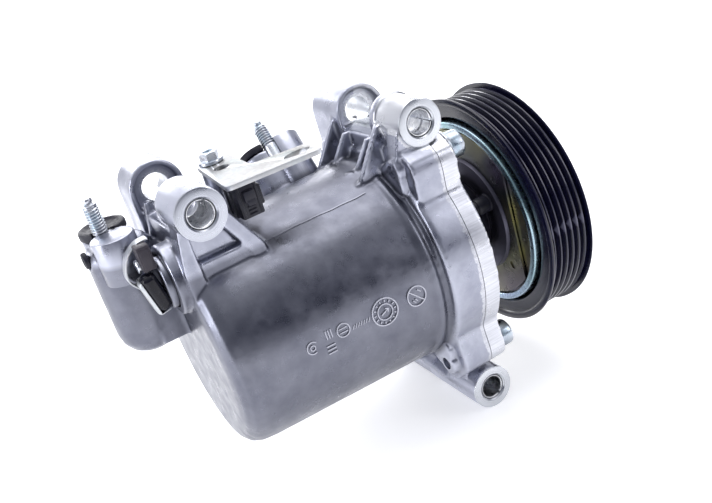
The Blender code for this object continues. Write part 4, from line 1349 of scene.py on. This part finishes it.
spring = []
for i in range(3):
    base = 120 * i + FIRST_RIVET
    centre = Vector(circle(RIVET_R, base))
    arm = []
    for k in range(13):
        a = math.radians(base - 90 + 180 * k / 12)
        arm.append(tuple(centre + Vector((4.6 * math.cos(a), 4.6 * math.sin(a)))))
    arm += [
        circle(24.0, base + 22), circle(18.0, base + 40), circle(14.0, base),
        circle(18.0, base - 40), circle(24.0, base - 22),
    ]
    leaf = slab(f"leaf_{i}", arm, 179.2, 180.4, "YZ")
    hole = bar(
        f"leaf_hole_{i}", 3.3, (170, *circle(RIVET_R, base)), (190, *circle(RIVET_R, base)), 40,
    )
    cut(leaf, [hole])
    spring.append(round_edges(leaf, 0.25, 1))
hub = turned(
    "hub_core",
    [
        (7.3, 176.8), (4.4, 177.4), (4.4, 183.0), (10.6, 183.0), (11.4, 182.8), (11.8, 182.2),
        (12.0, 181.5), (13.0, 181.2), (25.4, 181.2), (26.0, 180.8), (26.0, 179.5), (25.6, 179.2),
        (12.0, 179.2), (11.3, 178.6), (11.0, 175.6), (7.3, 175.6),
    ],
    segments=96,
)
finish_piece(
    joined("hub_with_springs", [hub] + spring), "shaft", HUB_STEEL, ["clutch_hub"],
)
nut = hex_head("nut_hex", 11.4, 0, 4.9, 0.6)
cut(nut, [bar("nut_bore", 4.9, (0, 0, -3), (0, 0, 8), 48, 0.1)])
soften(nut, 25)
finish_piece(moved(nut, (183.3, 0, 0), (1, 0, 0)), "shaft", ZINC, ["hub_nut"])

# --- cast marks and the parting line
def barrel_radius(x):
    return np.interp(x, (14, 90, 96), (48.2, 50.0, 50.4))


def wrapped(x0, degrees, u, v, height):
    """A point u along the shaft and v round the casing from a place on it, raised by height."""
    x = x0 + u
    radius = barrel_radius(x)
    a = math.radians(degrees) + v / radius
    return (x, -(radius + height) * math.cos(a), (radius + height) * math.sin(a))


def raised_line(path, width, height, x0, degrees, closed=False):
    """A raised bar with sloping sides along a flat path laid on the casing."""
    points = [Vector(p) for p in path]
    count = len(points)
    verts = []
    for i, point in enumerate(points):
        before = points[i - 1] if closed or i else point
        after = points[(i + 1) % count] if closed or i < count - 1 else point
        way = (after - before).normalized()
        side = Vector((-way.y, way.x))
        for offset, up in (
            (-width, -0.4), (-0.55 * width, height), (0.55 * width, height), (width, -0.4),
        ):
            place = point + side * offset
            verts.append(wrapped(x0, degrees, place.x, place.y, up))
    faces = []
    for i in range(count if closed else count - 1):
        j = (i + 1) % count
        for k in range(4):
            m = (k + 1) % 4
            faces.append((4 * i + k, 4 * j + k, 4 * j + m, 4 * i + m))
    if not closed:
        faces += [(0, 1, 2, 3), tuple(4 * count - 4 + k for k in (3, 2, 1, 0))]
    return add("mark", verts, faces, 50)


def loop(radius, count=48):
    angles = [2 * math.pi * i / count for i in range(count)]
    return [(radius * math.cos(a), radius * math.sin(a)) for a in angles]


def dashes(path, x0, degrees, width=0.28, height=0.35):
    return [raised_line(line, width, height, x0, degrees) for line in path]


marks = []
DIAL = (68.8, 1.3)
marks.append(raised_line(loop(6.0), 0.5, 0.5, *DIAL, closed=True))
marks.append(raised_line(loop(3.5, 36), 0.42, 0.5, *DIAL, closed=True))
ticks = []
for i in range(14):
    a = 2 * math.pi * i / 14
    ticks.append([(4.3 * math.cos(a), 4.3 * math.sin(a)), (5.3 * math.cos(a), 5.3 * math.sin(a))])
marks += dashes(ticks, *DIAL, width=0.42, height=0.45)
arrow = [[(-2.0, -0.9), (1.6, 0.8)], [(1.8, 0.9), (0.2, 1.4)], [(1.8, 0.9), (1.1, -0.6)]]
marks += dashes(arrow, *DIAL, width=0.42, height=0.45)
ROUND = (84.5, 1.1)
marks.append(raised_line(loop(4.4, 40), 0.46, 0.5, *ROUND, closed=True))
marks += dashes([[(-3.0, 3.0), (3.0, -3.0)]], *ROUND, width=0.42, height=0.45)
marks += dashes(
    [[(-2.2, -1.4), (-1.0, -2.6)], [(-1.0, -1.0), (0.0, -2.2)], [(1.0, 2.6), (2.4, 1.2)]], *ROUND,
    width=0.36,
)
SMALL = (49.0, 2.8)
marks.append(raised_line(loop(2.9, 32), 0.4, 0.45, *SMALL, closed=True))
marks += dashes([[(-1.9, 0.9), (1.9, 0.9)], [(-1.9, -0.9), (1.9, -0.9)]], *SMALL, width=0.36)
marks.append(raised_line(loop(2.6, 28)[3:24], 0.4, 0.45, 34.4, 1.6))
marks.append(raised_line(loop(1.1, 20), 0.36, 0.45, 34.4, 1.6, closed=True))
for i in range(3):
    marks += dashes(
        [[(-2.0, 1.7 - 1.7 * i), (2.0, 1.7 - 1.7 * i)]], 42.0, -3.4, width=0.4, height=0.45,
    )
marks += dashes(
    [[(-1.2, -1.9), (-1.2, 1.9)], [(0, -1.9), (0, 1.9)], [(1.2, -1.9), (1.2, 1.9)]], 42.5, 4.3,
    0.36, 0.45,
)
for i in range(7):
    marks += dashes(
        [[(-0.5, -0.9), (0.5, 0.9)]], 53.6 + 1.25 * i, 1.5 + 0.2 * (i % 2), width=0.26, height=0.2,
    )
fixed(joined("cast_marks", marks), CAST_MARK, "cast_aluminium")

line = [(u, 0.35 * math.sin(0.11 * u) + 0.12 * math.sin(0.53 * u)) for u in np.linspace(0, 50, 60)]
seam = raised_line(line, 0.42, 0.22, 36.5, 60.0)
seam.name = "parting_line"
fixed(seam, CAST, "cast_aluminium")

# --- floor, light and camera
LOW = -79.8


def backdrop():
    """A pale floor that sweeps up into a wall behind the object."""
    profile = [
        (-2.5, 0), (0.9, 0), (1.2, 0.02), (1.45, 0.12), (1.6, 0.32), (1.66, 0.6), (1.68, 2.2),
    ]
    verts = []
    for x in (-3.0, 3.0):
        for y, z in profile:
            verts.append((x, y, LOW * MM + z))
    count = len(profile)
    faces = [(i, i + 1, i + 1 + count, i + count) for i in range(count - 1)]
    obj = linked("floor", mesh_of("floor", verts, faces))
    obj.data.shade_smooth()
    paint = Paint("pale_floor", (0.92, 0.92, 0.93), roughness=0.9)
    paint.colour(paint.mix((0.90, 0.90, 0.91), (0.94, 0.94, 0.95), paint.noise(6.0, 2.0)))
    paint.bsdf.inputs["Emission Color"].default_value = (1, 1, 1, 1)
    paint.bsdf.inputs["Emission Strength"].default_value = 0.45
    obj.data.materials.append(paint.mat)


backdrop()


def area_light(name, place, target, size, power, colour=(1, 1, 1)):
    data = bpy.data.lights.new(name, "AREA")
    data.shape = "RECTANGLE"
    data.size, data.size_y = size
    data.energy = power
    data.color = colour
    obj = linked(name, data)
    obj.location = place
    obj.rotation_euler = (Vector(target) - Vector(place)).to_track_quat("-Z", "Y").to_euler()
    return obj


CENTRE = (0.07, 0.0, 0.0)
area_light("key_top", (0.32, 0.16, 0.90), CENTRE, (1.1, 0.8), 6.6, (1.0, 0.99, 0.98))
area_light("left", (-0.85, 0.05, 0.32), CENTRE, (0.35, 0.6), 4.2, (0.95, 0.96, 1.0))
area_light("right", (0.75, -0.75, 0.42), CENTRE, (0.30, 0.6), 2.0, (0.97, 0.97, 1.0))
area_light("back", (0.35, 0.95, 0.40), CENTRE, (1.2, 0.22), 4.4)

world = bpy.data.worlds.new("studio")
world.use_nodes = True
bpy.context.scene.world = world
nodes, links = world.node_tree.nodes, world.node_tree.links
background = nodes["Background"]
coords = nodes.new("ShaderNodeTexCoord")
split = nodes.new("ShaderNodeSeparateXYZ")
ramp = nodes.new("ShaderNodeValToRGB")
shift = nodes.new("ShaderNodeMapRange")
links.new(coords.outputs["Generated"], split.inputs["Vector"])
shift.inputs["From Min"].default_value = -1.0
shift.inputs["From Max"].default_value = 1.0
links.new(split.outputs["Z"], shift.inputs["Value"])
links.new(shift.outputs["Result"], ramp.inputs["Fac"])
elements = ramp.color_ramp.elements
elements[0].position, elements[0].color = 0.45, (0.085, 0.095, 0.145, 1)
elements[1].position, elements[1].color = 0.98, (0.85, 0.87, 0.92, 1)
middle = elements.new(0.74)
middle.color = (0.20, 0.21, 0.26, 1)
links.new(ramp.outputs["Color"], background.inputs["Color"])
background.inputs["Strength"].default_value = 1.0
bpy.context.scene.view_settings.view_transform = "Standard"

# The photograph is 712 pixels wide, and its focal length was fitted as 900 pixels.
FOCAL_PX, WIDTH_PX = 900, 712
camera_data = bpy.data.cameras.new("camera")
camera_data.sensor_width = 36.0
camera_data.lens = 36.0 * FOCAL_PX / WIDTH_PX
camera = linked("camera", camera_data)
camera.matrix_world = Matrix(
    (
        (0.83999176, 0.41592228, -0.34845731, -0.0609516),
        (-0.46894939, 0.23343646, -0.85181799, -0.3560325),
        (-0.27294744, 0.87892893, 0.39113121, 0.1723469),
        (0, 0, 0, 1),
    ),
)
bpy.context.scene.camera = camera

# --- finishes of the kept nodes
KEPT = {
    "cast_aluminium": CAST,
    "machined_casting": CAST,
    "steel": SHAFT_STEEL,
    "zinc_plated_steel": ZINC,
    "black_painted_steel": PULLEY_BLACK,
    "passivated_steel": COIL_OLIVE,
    "black_plastic": BLACK_PLASTIC,
    "brown_plastic": BROWN_PLASTIC,
    "rubber": RUBBER,
}
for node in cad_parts.values():
    for held in node.material_slots:
        name = held.material.name.split(".")[0] if held.material else "steel"
        held.material = KEPT.get(name, SHAFT_STEEL)
